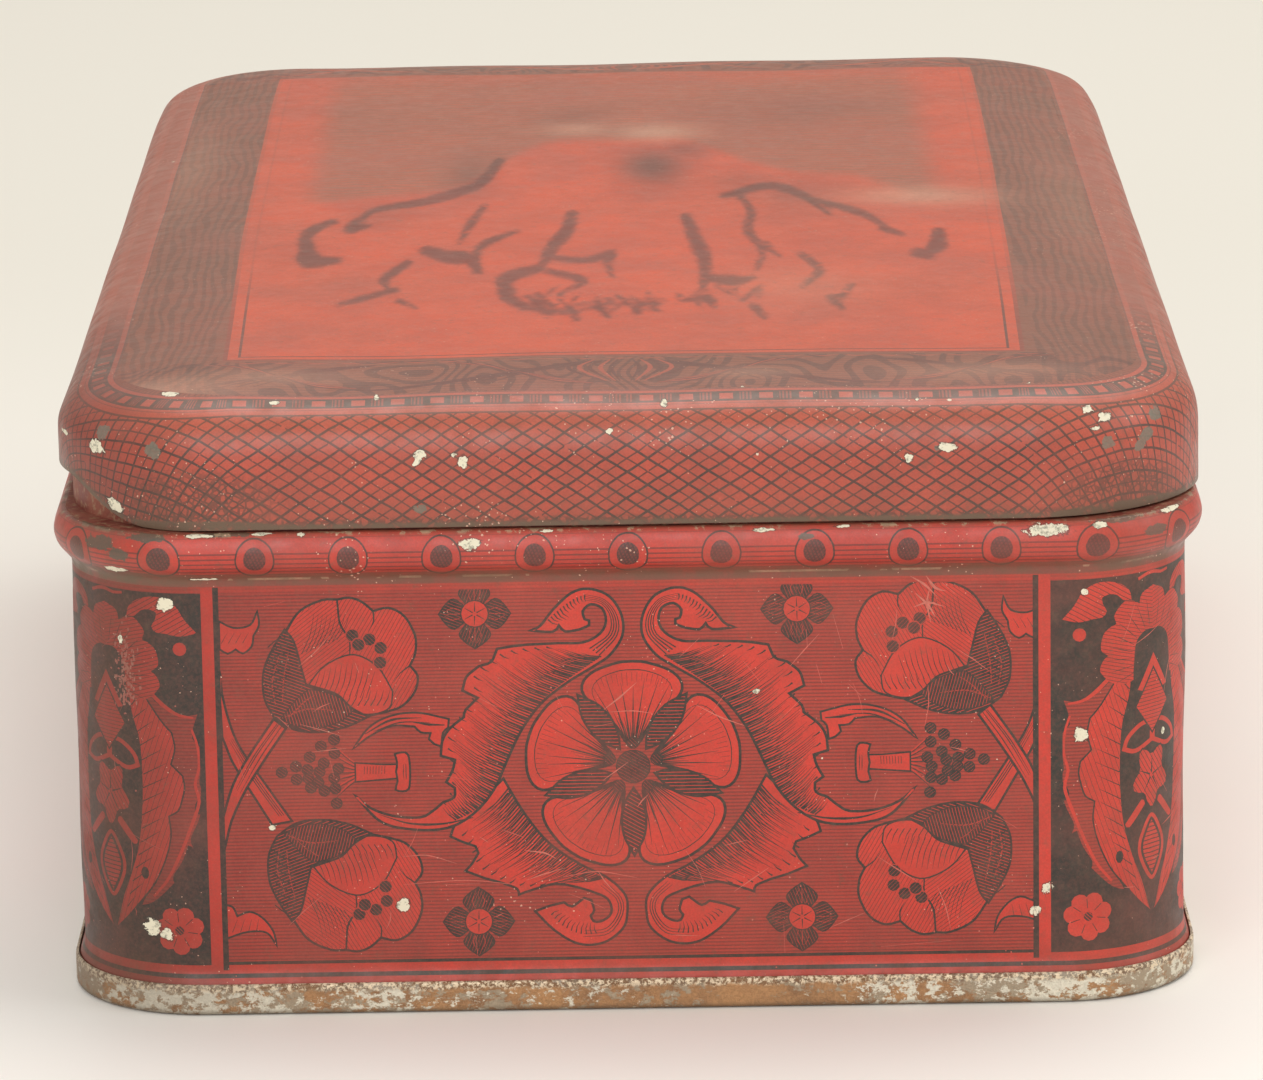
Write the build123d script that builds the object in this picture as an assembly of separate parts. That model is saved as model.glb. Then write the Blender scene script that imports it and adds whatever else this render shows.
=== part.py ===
from build123d import *
import math
import os

# ---------------------------------------------------------------- dimensions
# All lengths in millimetres. The tin stands on its base rim, +Z up, with its
# narrow front end facing -Y and the hinged end at +Y.

SHEET = 0.35            # tinplate thickness
STRIP = 0.40            # thickness of the soldered hinge strips

BODY_W = 127.0          # body wall, outside, across X
BODY_D = 220.0          # body wall, outside, along Y
BODY_R = 14.8           # plan corner radius of the wall

FOOT_FLARE = 0.70       # how far the foot of the wall stands out inside the rim
FOOT_Z0 = 0.55          # lower edge of the wall
FOOT_Z1 = 3.30          # flare ends here
FOOT_Z2 = 5.10          # wall is upright from here

BEAD_Z0 = 50.4          # bead starts to swell
BEAD_ZC = 53.7          # bead crest
BEAD_OUT = 1.95         # bead crest beyond the wall
LEDGE_Z = 56.375        # top of the ledge that the lid closes over
LEDGE_OUT = 0.90        # outline of the ledge plate beyond the wall

NECK_IN = 0.05          # neck face set in from the wall face
NECK_R = 19.6           # plan corner radius of the neck
NECK_TOP = 64.0
NECK_HEM = 2.8          # height of the folded hem at the mouth

SEAM_W = 4.6            # grooved side seam, inside the back wall
SEAM_T = 0.75
SEAM_X = 0.0

LID_W = 128.7           # lid skirt, outside
LID_D = 221.7
LID_R = 20.5            # plan corner radius of the lid skirt
LID_Z0 = 56.70          # lower edge of the skirt
LID_Z1 = 62.0           # skirt is upright up to here
LID_FLAT = 20.0         # inset at which the top becomes level

RIM_OUT = 1.15          # folded base rim beyond the wall
RIM_TOP = 3.55
RIM_PLATE_Z = 1.60      # underside of the bottom plate above the table

PIN_R = 0.70            # hinge wire
PIN_CLEAR = 0.05        # running clearance in the lid's knuckles
PIN_Z = 57.80
HINGE_X = 36.0          # centre of each hinge from the middle
STRAP_W = 8.0           # body strap
STRAP_FOOT = 48.5       # lower end of the strap inside the wall
TAB_KNUCKLE = 6.0       # length of each of the lid tab's two knuckles
TAB_GAP = 0.20          # end play between knuckles
TAB_TOP = 65.0
NOTCH_Z = 59.2          # top of the skirt's notch over each strap

hx, hy = BODY_W / 2, BODY_D / 2
lx, ly = LID_W / 2, LID_D / 2
PIN_Y = ly + STRIP + PIN_R + PIN_CLEAR
# The hinge stands out at the back further than the bead does at the front, so
# everything is moved to put the origin at the centre of the overall footprint.
SHIFT_Y = -((PIN_Y + PIN_R + PIN_CLEAR + STRIP) - (hy + BEAD_OUT)) / 2

os.makedirs("parts", exist_ok=True)


# ---------------------------------------------------------------- helpers
def sheet_section(runs, t):
    """Closed section of bent sheet. Each run is a list of (u, z) points on the
    sheet's outer line: two points make a straight run, more make a smooth one.
    Material lies to the left of the direction of travel, t thick."""
    outer, inner = [], []
    n = len(runs)

    def direction(a, b):
        d = math.hypot(b[0] - a[0], b[1] - a[1])
        return ((b[0] - a[0]) / d, (b[1] - a[1]) / d)

    for i, run in enumerate(runs):
        dirs = []
        for k, p in enumerate(run):
            if len(run) == 2:
                d = direction(run[0], run[1])
            elif k == 0:
                d = direction(*runs[i - 1][-2:]) if i and len(runs[i - 1]) == 2 else direction(run[0], run[1])
            elif k == len(run) - 1:
                d = direction(*runs[i + 1][:2]) if i + 1 < n and len(runs[i + 1]) == 2 else direction(run[-2], run[-1])
            else:
                a, b = direction(run[k - 1], p), direction(p, run[k + 1])
                la = math.hypot(p[0] - run[k - 1][0], p[1] - run[k - 1][1])
                lb = math.hypot(p[0] - run[k + 1][0], p[1] - run[k + 1][1])
                sx, sz = a[0] * lb + b[0] * la, a[1] * lb + b[1] * la
                m = math.hypot(sx, sz)
                d = (sx / m, sz / m)
            dirs.append(d)
        off = [(p[0] - d[1] * t, p[1] + d[0] * t) for p, d in zip(run, dirs)]
        for pts, store in ((run, outer), (off, inner)):
            v = [Vector(p[0], 0, p[1]) for p in pts]
            if len(pts) == 2:
                store.append(Edge.make_line(v[0], v[1]))
            else:
                store.append(Edge.make_spline(v, tangents=[Vector(dirs[0][0], 0, dirs[0][1]),
                                                           Vector(dirs[-1][0], 0, dirs[-1][1])]))
    start = Edge.make_line(outer[0] @ 0, inner[0] @ 0)
    end = Edge.make_line(outer[-1] @ 1, inner[-1] @ 1)
    return Face(Wire(outer + [end] + inner + [start]))


def ring(section, ax, ay, r):
    """Carries a section, drawn at (u, z) with u outward, round a rounded
    rectangle of half sizes ax, ay and corner radius r."""
    side = Pos(ax, ay - r, 0) * section
    end = Pos(ax - r, ay, 0) * Rot(0, 0, 90) * section
    run_y = Solid.extrude(side, Vector(0, -2 * (ay - r), 0))
    run_x = Solid.extrude(end, Vector(-2 * (ax - r), 0, 0))
    corner = Solid.revolve(side, 90, Axis((ax - r, ay - r, 0), (0, 0, 1)))
    pieces = [run_y, run_y.mirror(Plane.YZ), run_x, run_x.mirror(Plane.XZ),
              corner, corner.mirror(Plane.YZ), corner.mirror(Plane.XZ),
              corner.mirror(Plane.YZ).mirror(Plane.XZ)]
    out = Part() + pieces[0]
    for p in pieces[1:]:
        out = out + p
    return out


def slab(ax, ay, r, z0, z1):
    """Upright block with a rounded-rectangle plan."""
    return extrude(Pos(0, 0, z0) * RectangleRounded(2 * ax, 2 * ay, r), z1 - z0)


def block(x0, x1, y0, y1, z0, z1):
    return Pos((x0 + x1) / 2, (y0 + y1) / 2, (z0 + z1) / 2) * Box(x1 - x0, y1 - y0, z1 - z0)


def tube_x(x0, x1, y, z, r_out, r_in):
    """Knuckle: a short tube along X."""
    outer = Pos((x0 + x1) / 2, y, z) * Rot(0, 90, 0) * Cylinder(r_out, x1 - x0)
    return outer - Pos((x0 + x1) / 2, y, z) * Rot(0, 90, 0) * Cylinder(r_in, x1 - x0 + 1)


# ---------------------------------------------------------------- body wall
foot = [(FOOT_FLARE, FOOT_Z0), (FOOT_FLARE, FOOT_Z1 - 0.4)]
flare = [(FOOT_FLARE, FOOT_Z1 - 0.4), (FOOT_FLARE * 0.86, FOOT_Z1 + 0.25),
         (FOOT_FLARE * 0.42, 0.5 * (FOOT_Z1 + FOOT_Z2)), (FOOT_FLARE * 0.1, FOOT_Z2 - 0.3), (0, FOOT_Z2 + 0.3)]
upright = [(0, FOOT_Z2 + 0.3), (0, BEAD_Z0 - 0.4)]
bead = [(0, BEAD_Z0 - 0.4), (0.16, BEAD_Z0 + 0.35), (0.85, BEAD_Z0 + 1.2), (1.62, BEAD_ZC - 1.15),
        (BEAD_OUT, BEAD_ZC), (1.80, BEAD_ZC + 1.1), (1.48, BEAD_ZC + 1.95), (1.05, LEDGE_Z - 0.12),
        (0.55, LEDGE_Z)]
wall_section = sheet_section([foot, flare, upright, bead], SHEET)
body_wall = ring(wall_section, hx, hy, BODY_R)

nx, ny = hx - NECK_IN, hy - NECK_IN
ledge = slab(hx + 0.62, hy + 0.62, BODY_R + 0.62, LEDGE_Z - SHEET, LEDGE_Z)
ledge -= slab(nx - SHEET, ny - SHEET, NECK_R - SHEET, LEDGE_Z - 1, LEDGE_Z + 1)
neck = slab(nx, ny, NECK_R, LEDGE_Z - SHEET, NECK_TOP)
neck -= slab(nx - SHEET, ny - SHEET, NECK_R - SHEET, LEDGE_Z - 1, NECK_TOP + 1)
hem = slab(nx - SHEET / 2, ny - SHEET / 2, NECK_R - SHEET / 2, NECK_TOP - NECK_HEM, NECK_TOP)
hem -= slab(nx - 2 * SHEET, ny - 2 * SHEET, NECK_R - 2 * SHEET, NECK_TOP - NECK_HEM - 1, NECK_TOP + 1)
top = neck + hem
top = fillet(top.edges().filter_by_position(Axis.Z, NECK_TOP - 1e-3, NECK_TOP + 1e-3), 0.28)
body_wall = body_wall + ledge + top
# Grooved seam: the folded lap stands inside the back wall.
seam = block(SEAM_X - SEAM_W / 2, SEAM_X + SEAM_W / 2, hy - SHEET - SEAM_T, hy - SHEET / 2, FOOT_Z2 + 1.0, BEAD_Z0 - 1.2)
seam = fillet(seam.edges().filter_by(Axis.Z).group_by(Axis.Y)[0], 0.3)
body_wall = body_wall + seam
# A slot in the neck over each hinge strap.
for s in (-1, 1):
    body_wall -= block(s * HINGE_X - STRAP_W / 2 - 0.15, s * HINGE_X + STRAP_W / 2 + 0.15, ny - 1.2, ny + 0.3,
                       PIN_Z - PIN_R - STRIP - 0.06, PIN_Z - PIN_R + 0.06)

# ---------------------------------------------------------------- base pan
# The bottom plate's edge goes down, turns out under the wall's foot and folds
# up over it as the rim that the tin stands on.
u0 = FOOT_FLARE - SHEET - 0.06 - SHEET          # inner face of the inner leg
u1 = FOOT_FLARE - SHEET - 0.06                  # outer face of the inner leg
u2 = RIM_OUT - SHEET                            # inner face of the rim
E = Edge.make_line
A3 = Edge.make_three_point_arc


def V(u, z):
    return Vector(u, 0, z)


rb, rs = 0.50, 0.20
q = math.sqrt(0.5)
rim = [
    E(V(u0 - 6, RIM_PLATE_Z), V(u0, RIM_PLATE_Z)),
    E(V(u0, RIM_PLATE_Z), V(u0, rs)),
    A3(V(u0, rs), V(u0 + rs - rs * q, rs - rs * q), V(u0 + rs, 0)),
    E(V(u0 + rs, 0), V(RIM_OUT - rb, 0)),
    A3(V(RIM_OUT - rb, 0), V(RIM_OUT - rb + rb * q, rb - rb * q), V(RIM_OUT, rb)),
    E(V(RIM_OUT, rb), V(RIM_OUT, RIM_TOP - 0.30)),
    A3(V(RIM_OUT, RIM_TOP - 0.30), V(RIM_OUT - 0.12, RIM_TOP - 0.08), V(u2, RIM_TOP)),
    E(V(u2, RIM_TOP), V(u2, SHEET + 0.08)),
    E(V(u2, SHEET + 0.08), V(u1, SHEET + 0.08)),
    E(V(u1, SHEET + 0.08), V(u1, RIM_PLATE_Z + SHEET)),
    E(V(u1, RIM_PLATE_Z + SHEET), V(u0 - 6, RIM_PLATE_Z + SHEET)),
    E(V(u0 - 6, RIM_PLATE_Z + SHEET), V(u0 - 6, RIM_PLATE_Z)),
]
base_pan = ring(Face(Wire(rim)), hx, hy, BODY_R)
base_pan = base_pan + slab(hx + u0 - 5.5, hy + u0 - 5.5, BODY_R + u0 - 5.5, RIM_PLATE_Z, RIM_PLATE_Z + SHEET)

# ---------------------------------------------------------------- lid
# Outer line of the lid: upright skirt, rolled shoulder, a border zone that
# slopes gently up to the level picture panel. Found by stepping along the
# line with its slope given at each length.
pts, u, z, s, ds = [], 0.0, LID_Z1, 0.0, 0.02
marks = [0.0, 1.2, 2.4, 3.6, 4.8, 6.0, 7.2, 8.3, 9.4, 10.5, 11.8, 13.4, 15.4, 17.8, 20.4, 23.2, 25.4]


def slope(s):
    if s < 8.3:
        return 90 - 62 * (s / 8.3) ** 2
    if s < 11.8:
        k = (s - 8.3) / 3.5
        return 28 - 18 * (1.65 * k - 0.65 * k * k)
    k = min((s - 11.8) / 14.2, 1.0)
    return 10 * (1 - k) ** 1.15


path = []
while -u < LID_FLAT:
    if any(abs(s - m) < ds / 2 for m in marks):
        pts.append((u, z))
    a = math.radians(slope(s + ds / 2))
    u -= math.cos(a) * ds
    z += math.sin(a) * ds
    s += ds
LID_TOP = z
if math.hypot(pts[-1][0] + LID_FLAT, pts[-1][1] - z) < 1.0:
    pts.pop()
pts.append((-LID_FLAT, z))
skirt = [(0, LID_Z0), (0, LID_Z1)]
land = [(-LID_FLAT, LID_TOP), (-LID_FLAT - 0.3, LID_TOP)]
lid_section = sheet_section([skirt, pts, land], SHEET)
lid_shell = ring(lid_section, lx, ly, LID_R)
lid_shell = lid_shell + slab(lx - LID_FLAT - 0.1, ly - LID_FLAT - 0.1, LID_R - LID_FLAT - 0.1, LID_TOP - SHEET, LID_TOP)
for s_ in (-1, 1):
    lid_shell -= block(s_ * HINGE_X - STRAP_W / 2 - 0.3, s_ * HINGE_X + STRAP_W / 2 + 0.3, ly - 2, ly + 1,
                       LID_Z0 - 1, NOTCH_Z)

# ---------------------------------------------------------------- hinges
nodes = {"body_wall": body_wall, "base_pan": base_pan, "lid_shell": lid_shell}
k_out = PIN_R + PIN_CLEAR + STRIP
tab_half = STRAP_W / 2 + TAB_GAP + TAB_KNUCKLE
for side, name in ((-1, "left"), (1, "right")):
    x = side * HINGE_X
    # Strap: up inside the wall, out through the neck, round the wire.
    strap = tube_x(x - STRAP_W / 2, x + STRAP_W / 2, PIN_Y, PIN_Z, PIN_R + STRIP, PIN_R)
    strap = strap + (block(x - STRAP_W / 2, x + STRAP_W / 2, hy - SHEET - 0.1 - STRIP, PIN_Y,
                           PIN_Z - PIN_R - STRIP, PIN_Z - PIN_R)
                     - Pos(x, PIN_Y, PIN_Z) * Rot(0, 90, 0) * Cylinder(PIN_R, STRAP_W + 1))
    strap = strap + block(x - STRAP_W / 2, x + STRAP_W / 2, hy - SHEET - 0.1 - STRIP, hy - SHEET - 0.1,
                          STRAP_FOOT, PIN_Z - PIN_R)
    nodes["body_hinge_strap_" + name] = strap
    # Tab: soldered to the skirt, its two knuckles flank the strap's.
    tab = block(x - tab_half, x + tab_half, ly, ly + STRIP, NOTCH_Z, TAB_TOP)
    tab = fillet(tab.edges().filter_by(Axis.Y).group_by(Axis.Z)[-1], 1.2)
    for k in (-1, 1):
        a, b = sorted((x + k * (STRAP_W / 2 + TAB_GAP), x + k * tab_half))
        knuckle = tube_x(a, b, PIN_Y, PIN_Z, k_out, PIN_R + PIN_CLEAR)
        leg = block(a, b, ly, ly + STRIP, PIN_Z, NOTCH_Z + 0.5)
        tab = tab + knuckle + leg
    nodes["lid_hinge_tab_" + name] = tab
    # Wire pin, its ends rounded over.
    pin = Pos(x, PIN_Y, PIN_Z) * Rot(0, 90, 0) * Cylinder(PIN_R, 2 * tab_half + 0.8)
    pin = chamfer(pin.edges().filter_by(GeomType.CIRCLE), 0.18)
    nodes["hinge_pin_" + name] = pin

# ---------------------------------------------------------------- write
for name, shape in nodes.items():
    moved = Pos(0, SHIFT_Y, 0) * shape
    solids = moved.solids()
    out = solids[0] if len(solids) == 1 else Compound(children=list(solids))
    export_step(out, "parts/" + name + ".step")
    bb = out.bounding_box()
    print(name, len(solids), "solid(s)", "volume", round(sum(q_.volume for q_ in solids), 1),
          "box", [round(v, 3) for v in (bb.min.X, bb.min.Y, bb.min.Z, bb.max.X, bb.max.Y, bb.max.Z)])
print("lid top", round(LID_TOP, 3), "pin y", round(PIN_Y + SHIFT_Y, 4), "shift", round(SHIFT_Y, 4))
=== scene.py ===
"""Visual model of the lithographed tin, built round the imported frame. Lengths in this script are millimetres until the mesh is made."""
import bpy
import math
import random
import numpy as np
from mathutils import Matrix, Vector
from mathutils.geometry import delaunay_2d_cdt


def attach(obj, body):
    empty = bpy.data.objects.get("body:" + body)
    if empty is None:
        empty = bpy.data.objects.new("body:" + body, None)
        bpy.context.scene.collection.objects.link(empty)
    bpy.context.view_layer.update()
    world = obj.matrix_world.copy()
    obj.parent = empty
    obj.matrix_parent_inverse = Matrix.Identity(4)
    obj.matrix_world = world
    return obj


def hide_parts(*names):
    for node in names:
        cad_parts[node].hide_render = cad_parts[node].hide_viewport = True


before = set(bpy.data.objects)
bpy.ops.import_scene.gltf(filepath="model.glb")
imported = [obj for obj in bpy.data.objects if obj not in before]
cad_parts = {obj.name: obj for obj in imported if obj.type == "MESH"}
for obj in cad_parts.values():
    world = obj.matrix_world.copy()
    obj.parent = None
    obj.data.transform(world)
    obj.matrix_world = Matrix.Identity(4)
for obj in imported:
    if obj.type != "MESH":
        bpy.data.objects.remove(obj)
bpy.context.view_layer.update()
rng = random.Random(7)
SY = -0.6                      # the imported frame's shift in Y
PI = math.pi

# ---------------------------------------------------------------- surfaces
A0, B0, Q0 = 48.7, 95.2, 23.25      # body: core half sizes and corner length
LA, LB, LQ = 43.85, 90.35, 32.2     # lid: the same
LR = 20.5


def ring(s, a, b, q):
    """Core point and outward angle at perimeter length s. 0 is the front centre, increasing towards +X."""
    s = np.mod(np.asarray(s, float), 4 * (a + b + q))
    e = np.cumsum([a, q, 2 * b, q, 2 * a, q, 2 * b, q])
    L = 4 * (a + b + q)
    h = PI / 2
    conds = [s < e[0], s < e[1], s < e[2], s < e[3], s < e[4], s < e[5], s < e[6], s < e[7]]
    cx = np.select(conds, [s, a, a, a, a - (s - e[3]), -a, -a, -a], s - L)
    cy = np.select(conds, [-b, -b, -b + (s - e[1]), b, b, b, b - (s - e[5]), -b], -b)
    th = np.select(conds, [0 * s, (s - e[0]) / q * h, 0 * s + h, h + (s - e[2]) / q * h, 0 * s + 2 * h,
                           2 * h + (s - e[4]) / q * h, 0 * s + 3 * h, 3 * h + (s - e[6]) / q * h], 0 * s)
    return cx, cy, th


def catmull(pts, step=0.6, closed=False):
    p = np.asarray(pts, float)
    n = len(p)
    if n < 3 and not closed:
        return p
    out = []
    m = n if closed else n - 1
    for i in range(m):
        p1, p2 = p[i % n], p[(i + 1) % n]
        p0 = p[(i - 1) % n] if closed or i > 0 else 2 * p1 - p2
        p3 = p[(i + 2) % n] if closed or i + 2 < n else 2 * p2 - p1
        d = np.linalg.norm(p2 - p1)
        k = max(1, int(math.ceil(d / step)))
        for j in range(k):
            t = j / k
            out.append(0.5 * (2 * p1 + (p2 - p0) * t + (2 * p0 - 5 * p1 + 4 * p2 - p3) * t * t + (3 * p1 - p0 - 3 * p2 + p3) * t ** 3))
    if not closed:
        out.append(p[-1])
    return np.array(out)


def dense(points_list):
    """Profile polyline -> (t, u, z) with t the arc length."""
    pl = np.vstack(points_list)
    d = np.hypot(*np.diff(pl, axis=0).T)
    keep = np.concatenate([[True], d > 1e-6])
    pl = pl[keep]
    t = np.concatenate([[0], np.cumsum(np.hypot(*np.diff(pl, axis=0).T))])
    return t, pl[:, 0], pl[:, 1]


BODY_T, BODY_U, BODY_Z = dense([
    [(0.70, 0.55), (0.70, 2.9)],
    catmull([(0.70, 2.9), (0.602, 3.55), (0.294, 4.2), (0.07, 4.8), (0.0, 5.4)], 0.08),
    [(0.0, 5.4), (0.0, 50.0)],
    catmull([(0, 50.0), (0.16, 50.75), (0.85, 51.6), (1.62, 52.55), (1.95, 53.7), (1.80, 54.8), (1.48, 55.65), (1.05, 56.255), (0.55, 56.375)], 0.08)])


def lid_profile():
    u, z, s, ds = 0.0, 62.0, 0.0, 0.02
    out = [(0.0, 56.7), (0.0, 62.0)]
    while u < 20.0:
        m = s + ds / 2
        if m < 8.3:
            g = 90 - 62 * (m / 8.3) ** 2
        elif m < 11.8:
            k = (m - 8.3) / 3.5
            g = 28 - 18 * (1.65 * k - 0.65 * k * k)
        else:
            g = 10 * (1 - min((m - 11.8) / 14.2, 1.0)) ** 1.15
        g = math.radians(g)
        u += math.cos(g) * ds
        z += math.sin(g) * ds
        s += ds
        out.append((u, z))
    return np.array(out)


LP = lid_profile()
LID_T = np.concatenate([[0], np.cumsum(np.hypot(*np.diff(LP, axis=0).T))])
LID_U, LID_Z = LP[:, 0], LP[:, 1]
LID_TOP = float(LID_Z[-1])


def smooth01(x, a, b):
    k = np.clip((x - a) / (b - a), 0, 1)
    return k * k * (3 - 2 * k)


def waves(x, y, seed, amp):
    r = random.Random(seed)
    v = 0 * x
    for _ in range(7):
        k = 2 * PI / r.uniform(26, 90)
        a = r.uniform(0, 2 * PI)
        v = v + math.cos(r.uniform(0, 6.28)) * 0 + r.uniform(0.4, 1) * np.sin(k * (x * math.cos(a) + y * math.sin(a)) + r.uniform(0, 6.28))
    return v * amp / 3.0


def body_point(s, t):
    u = np.interp(t, BODY_T, BODY_U)
    z = np.interp(t, BODY_T, BODY_Z)
    cx, cy, th = ring(s, A0, B0, Q0)
    calm = smooth01(z, 6, 14) * (1 - smooth01(z, 44, 50))
    n = waves(cx + 14.8 * np.sin(th), z * 1.7 + cy, 3, 0.16) * calm
    n = n + waves(s * 0.9, z * 0, 5, 0.05) * smooth01(z, 50.5, 52) * (1 - smooth01(z, 54.5, 56))
    R = 14.8 + u + n
    return np.stack([cx + R * np.sin(th), cy - R * np.cos(th) + SY, z], -1)


def widen(x, y):
    """The lid has spread a little in use, more on the right."""
    k = np.where(x > 0, 1.05, 0.6) * (1 - smooth01(y, 80, 112))
    return x * (1 + k / 64.35)


def lid_calm(T):
    return smooth01(T, 1.0, 5.0)


def lid_point(s, T):
    u = np.interp(T, LID_T, LID_U)
    z = np.interp(T, LID_T, LID_Z)
    cx, cy, th = ring(s, LA, LB, LQ)
    R = LR - u
    x, y = cx + R * np.sin(th), cy - R * np.cos(th)
    z = z + top_extra(x, y) * smooth01(u, 0.4, 5.0)
    o = waves(cx * 1.0 + 10 * np.sin(th), cy * 0.8 + T, 11, 0.08) * lid_calm(T) * (1 - smooth01(u, 4, 8))
    # the skirt's lower edge is bent up at the front left corner
    L = 4 * (LA + LB + LQ)
    sl = np.mod(-np.asarray(s, float), L)
    low = 1 - smooth01(T, 0.0, 12.0)
    z = z + low * (4.1 * smooth01(sl, 54, 68) * (1 - smooth01(sl, 77, 110)) - 0.2 * np.exp(-((sl - 51) / 4.0) ** 2))
    return np.stack([widen(x, y) + o * np.sin(th), y - o * np.cos(th) + SY, z], -1)


def top_extra(x, y):
    """Slight crown and buckles of the pressed lid top."""
    e = waves(x * 1.1, y, 21, 0.16)
    c = 0.5 * np.clip(1 - (x / 56.0) ** 2, 0, 1) * np.clip(1 - (y / 102.0) ** 2, 0, 1)
    # the shallow hammered dimples beside the front of the panel
    for dx, dy, r, a in ((-33, -100, 9, -0.22), (-41, -84, 12, 0.16), (30, -99, 10, -0.14), (8, -97, 8, 0.10), (50, -70, 12, -0.12), (-52, 20, 18, 0.12)):
        e = e + a * np.exp(-((x - dx) ** 2 + (y - dy) ** 2) / (r * r))
    return e + c


def inset_of(x, y):
    """Distance inside the lid's outline."""
    ax, ay = np.abs(x) - LA, np.abs(y) - LB
    corner = LR - np.hypot(np.maximum(ax, 0), np.maximum(ay, 0))
    inner = LR - np.maximum(ax, ay)
    return np.where((ax > 0) & (ay > 0), corner, inner)


def top_point(x, y):
    d = inset_of(x, y)
    z = np.interp(np.minimum(d, 20.0), LID_U, LID_Z)
    z = np.where(d < 20, z, LID_TOP) + top_extra(x, y) * smooth01(d, 0.4, 5.0)
    return np.stack([widen(x, y), y + SY, z], -1)


def normals(fn, a, b, da=0.25, db=0.12):
    p = np.cross(fn(a + da, b) - fn(a - da, b), fn(a, b + db) - fn(a, b - db))
    return p / np.maximum(np.linalg.norm(p, axis=-1, keepdims=True), 1e-12)


# ---------------------------------------------------------------- drawing
class Art:
    """Flat shapes in paint order. ink = (dark, ruling, tone, hatch), hat = (cos, sin, pitch)."""

    def __init__(self):
        self.items = []
        self.tags = []
        self.tag = ""

    def add(self, poly, ink, hat=(1, 0, 0.42)):
        poly = np.asarray(poly, float)
        if len(poly) >= 3:
            self.items.append((poly, ink, hat))
            self.tags.append(self.tag)

    def moved(self, shifts):
        """Copy with the tagged groups moved."""
        out = Art()
        for (poly, ink, hat), tag in zip(self.items, self.tags):
            out.items.append((poly + np.array(shifts.get(tag, (0.0, 0.0))), ink, hat))
            out.tags.append(tag)
        return out

    def mirrored(self):
        out = Art()
        for (poly, ink, hat), tag in zip(self.items, self.tags):
            q = poly.copy()
            q[:, 0] *= -1
            out.items.append((q[::-1], ink, (-hat[0], hat[1], hat[2])))
            out.tags.append(tag)
        return out


GROUND = (0, 1, 0, 0)
RED = (0, 0, 0.0, 0)
DARK = (1, 0, 0, 0)


def hatch(duty, tone=0.0):
    return (0, 0, tone, duty)


def ang(deg, pitch=0.42):
    return (math.cos(math.radians(deg)), math.sin(math.radians(deg)), pitch)


def area(p):
    x, y = p[:, 0], p[:, 1]
    return 0.5 * float(np.sum(x * np.roll(y, -1) - np.roll(x, -1) * y))


def offset(p, d):
    """Closed polygon moved outwards by d (inwards when negative)."""
    p = np.asarray(p, float)
    if area(p) < 0:
        p = p[::-1]
    e1 = p - np.roll(p, 1, 0)
    e2 = np.roll(p, -1, 0) - p
    n1 = np.stack([e1[:, 1], -e1[:, 0]], 1)
    n2 = np.stack([e2[:, 1], -e2[:, 0]], 1)
    n1 /= np.maximum(np.linalg.norm(n1, axis=1, keepdims=True), 1e-9)
    n2 /= np.maximum(np.linalg.norm(n2, axis=1, keepdims=True), 1e-9)
    n = n1 + n2
    ln = np.linalg.norm(n, axis=1, keepdims=True)
    n = n / np.maximum(ln, 1e-9)
    k = d / np.maximum(ln / 2, 0.45)
    return p + n * k


def runs(*parts, step=0.6):
    """Smooth runs joined with sharp corners. Each run starts where the last one ends."""
    out = []
    last = None
    for r in parts:
        pts = list(r) if last is None else [last] + list(r)
        c = catmull(pts, step)
        out.append(c if last is None else c[1:])
        last = tuple(pts[-1])
    return np.vstack(out)


def closed(*parts, step=0.6):
    p = runs(*parts, step=step)
    if np.linalg.norm(p[0] - p[-1]) < 1e-6:
        p = p[:-1]
    return p


def stroke(pts, w0, w1=None, w2=None, step=0.7):
    """Line polygon: widths at start, middle and end."""
    p = catmull(pts, step) if len(pts) > 2 else np.asarray(pts, float)
    w1 = w0 if w1 is None else w1
    w2 = w0 if w2 is None else w2
    d = np.gradient(p, axis=0)
    d /= np.maximum(np.linalg.norm(d, axis=1, keepdims=True), 1e-9)
    n = np.stack([-d[:, 1], d[:, 0]], 1)
    k = np.linspace(0, 1, len(p))
    w = np.where(k < 0.5, w0 + (w1 - w0) * k * 2, w1 + (w2 - w1) * (k * 2 - 1)) / 2
    w = np.maximum(w, 0.015)
    return np.vstack([p + n * w[:, None], (p - n * w[:, None])[::-1]])


def disc(cx, cy, r, n=14, ry=None, rot=0.0):
    a = np.arange(n) / n * 2 * PI
    ry = r if ry is None else ry
    x, y = r * np.cos(a), ry * np.sin(a)
    c, s = math.cos(rot), math.sin(rot)
    return np.stack([cx + x * c - y * s, cy + x * s + y * c], 1)


def outlined(art, poly, ink, hat=(1, 0, 0.42), w=0.34):
    w = w * 0.82
    art.add(offset(poly, w / 2), DARK)
    art.add(offset(poly, -w / 2), ink, hat)


def along(p, f):
    p = np.asarray(p, float)
    d = np.concatenate([[0], np.cumsum(np.hypot(*np.diff(p, axis=0).T))])
    d /= d[-1]
    return np.array([np.interp(f, d, p[:, 0]), np.interp(f, d, p[:, 1])])


def fan(art, spine, edge, n, a0, a1, w0, w1=0.03, bend=0.0, r=None, lo=0.02, hi=0.98):
    """Engraved strokes that leave the spine and taper towards the edge."""
    r = r or rng
    sp, ed = catmull(spine, 0.5), catmull(edge, 0.5)
    for i in range(n):
        f = lo + (hi - lo) * (i + 0.5) / n
        A, B = along(sp, f), along(ed, f)
        b1 = a1 * r.uniform(0.72, 1.08)
        p0, p1 = A + (B - A) * a0, A + (B - A) * b1
        m = (p0 + p1) / 2 + bend * np.array([-(p1 - p0)[1], (p1 - p0)[0]])
        art.add(stroke([p0, m, p1], w0, w0 * 0.7, w1, step=1.9), DARK)


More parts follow.
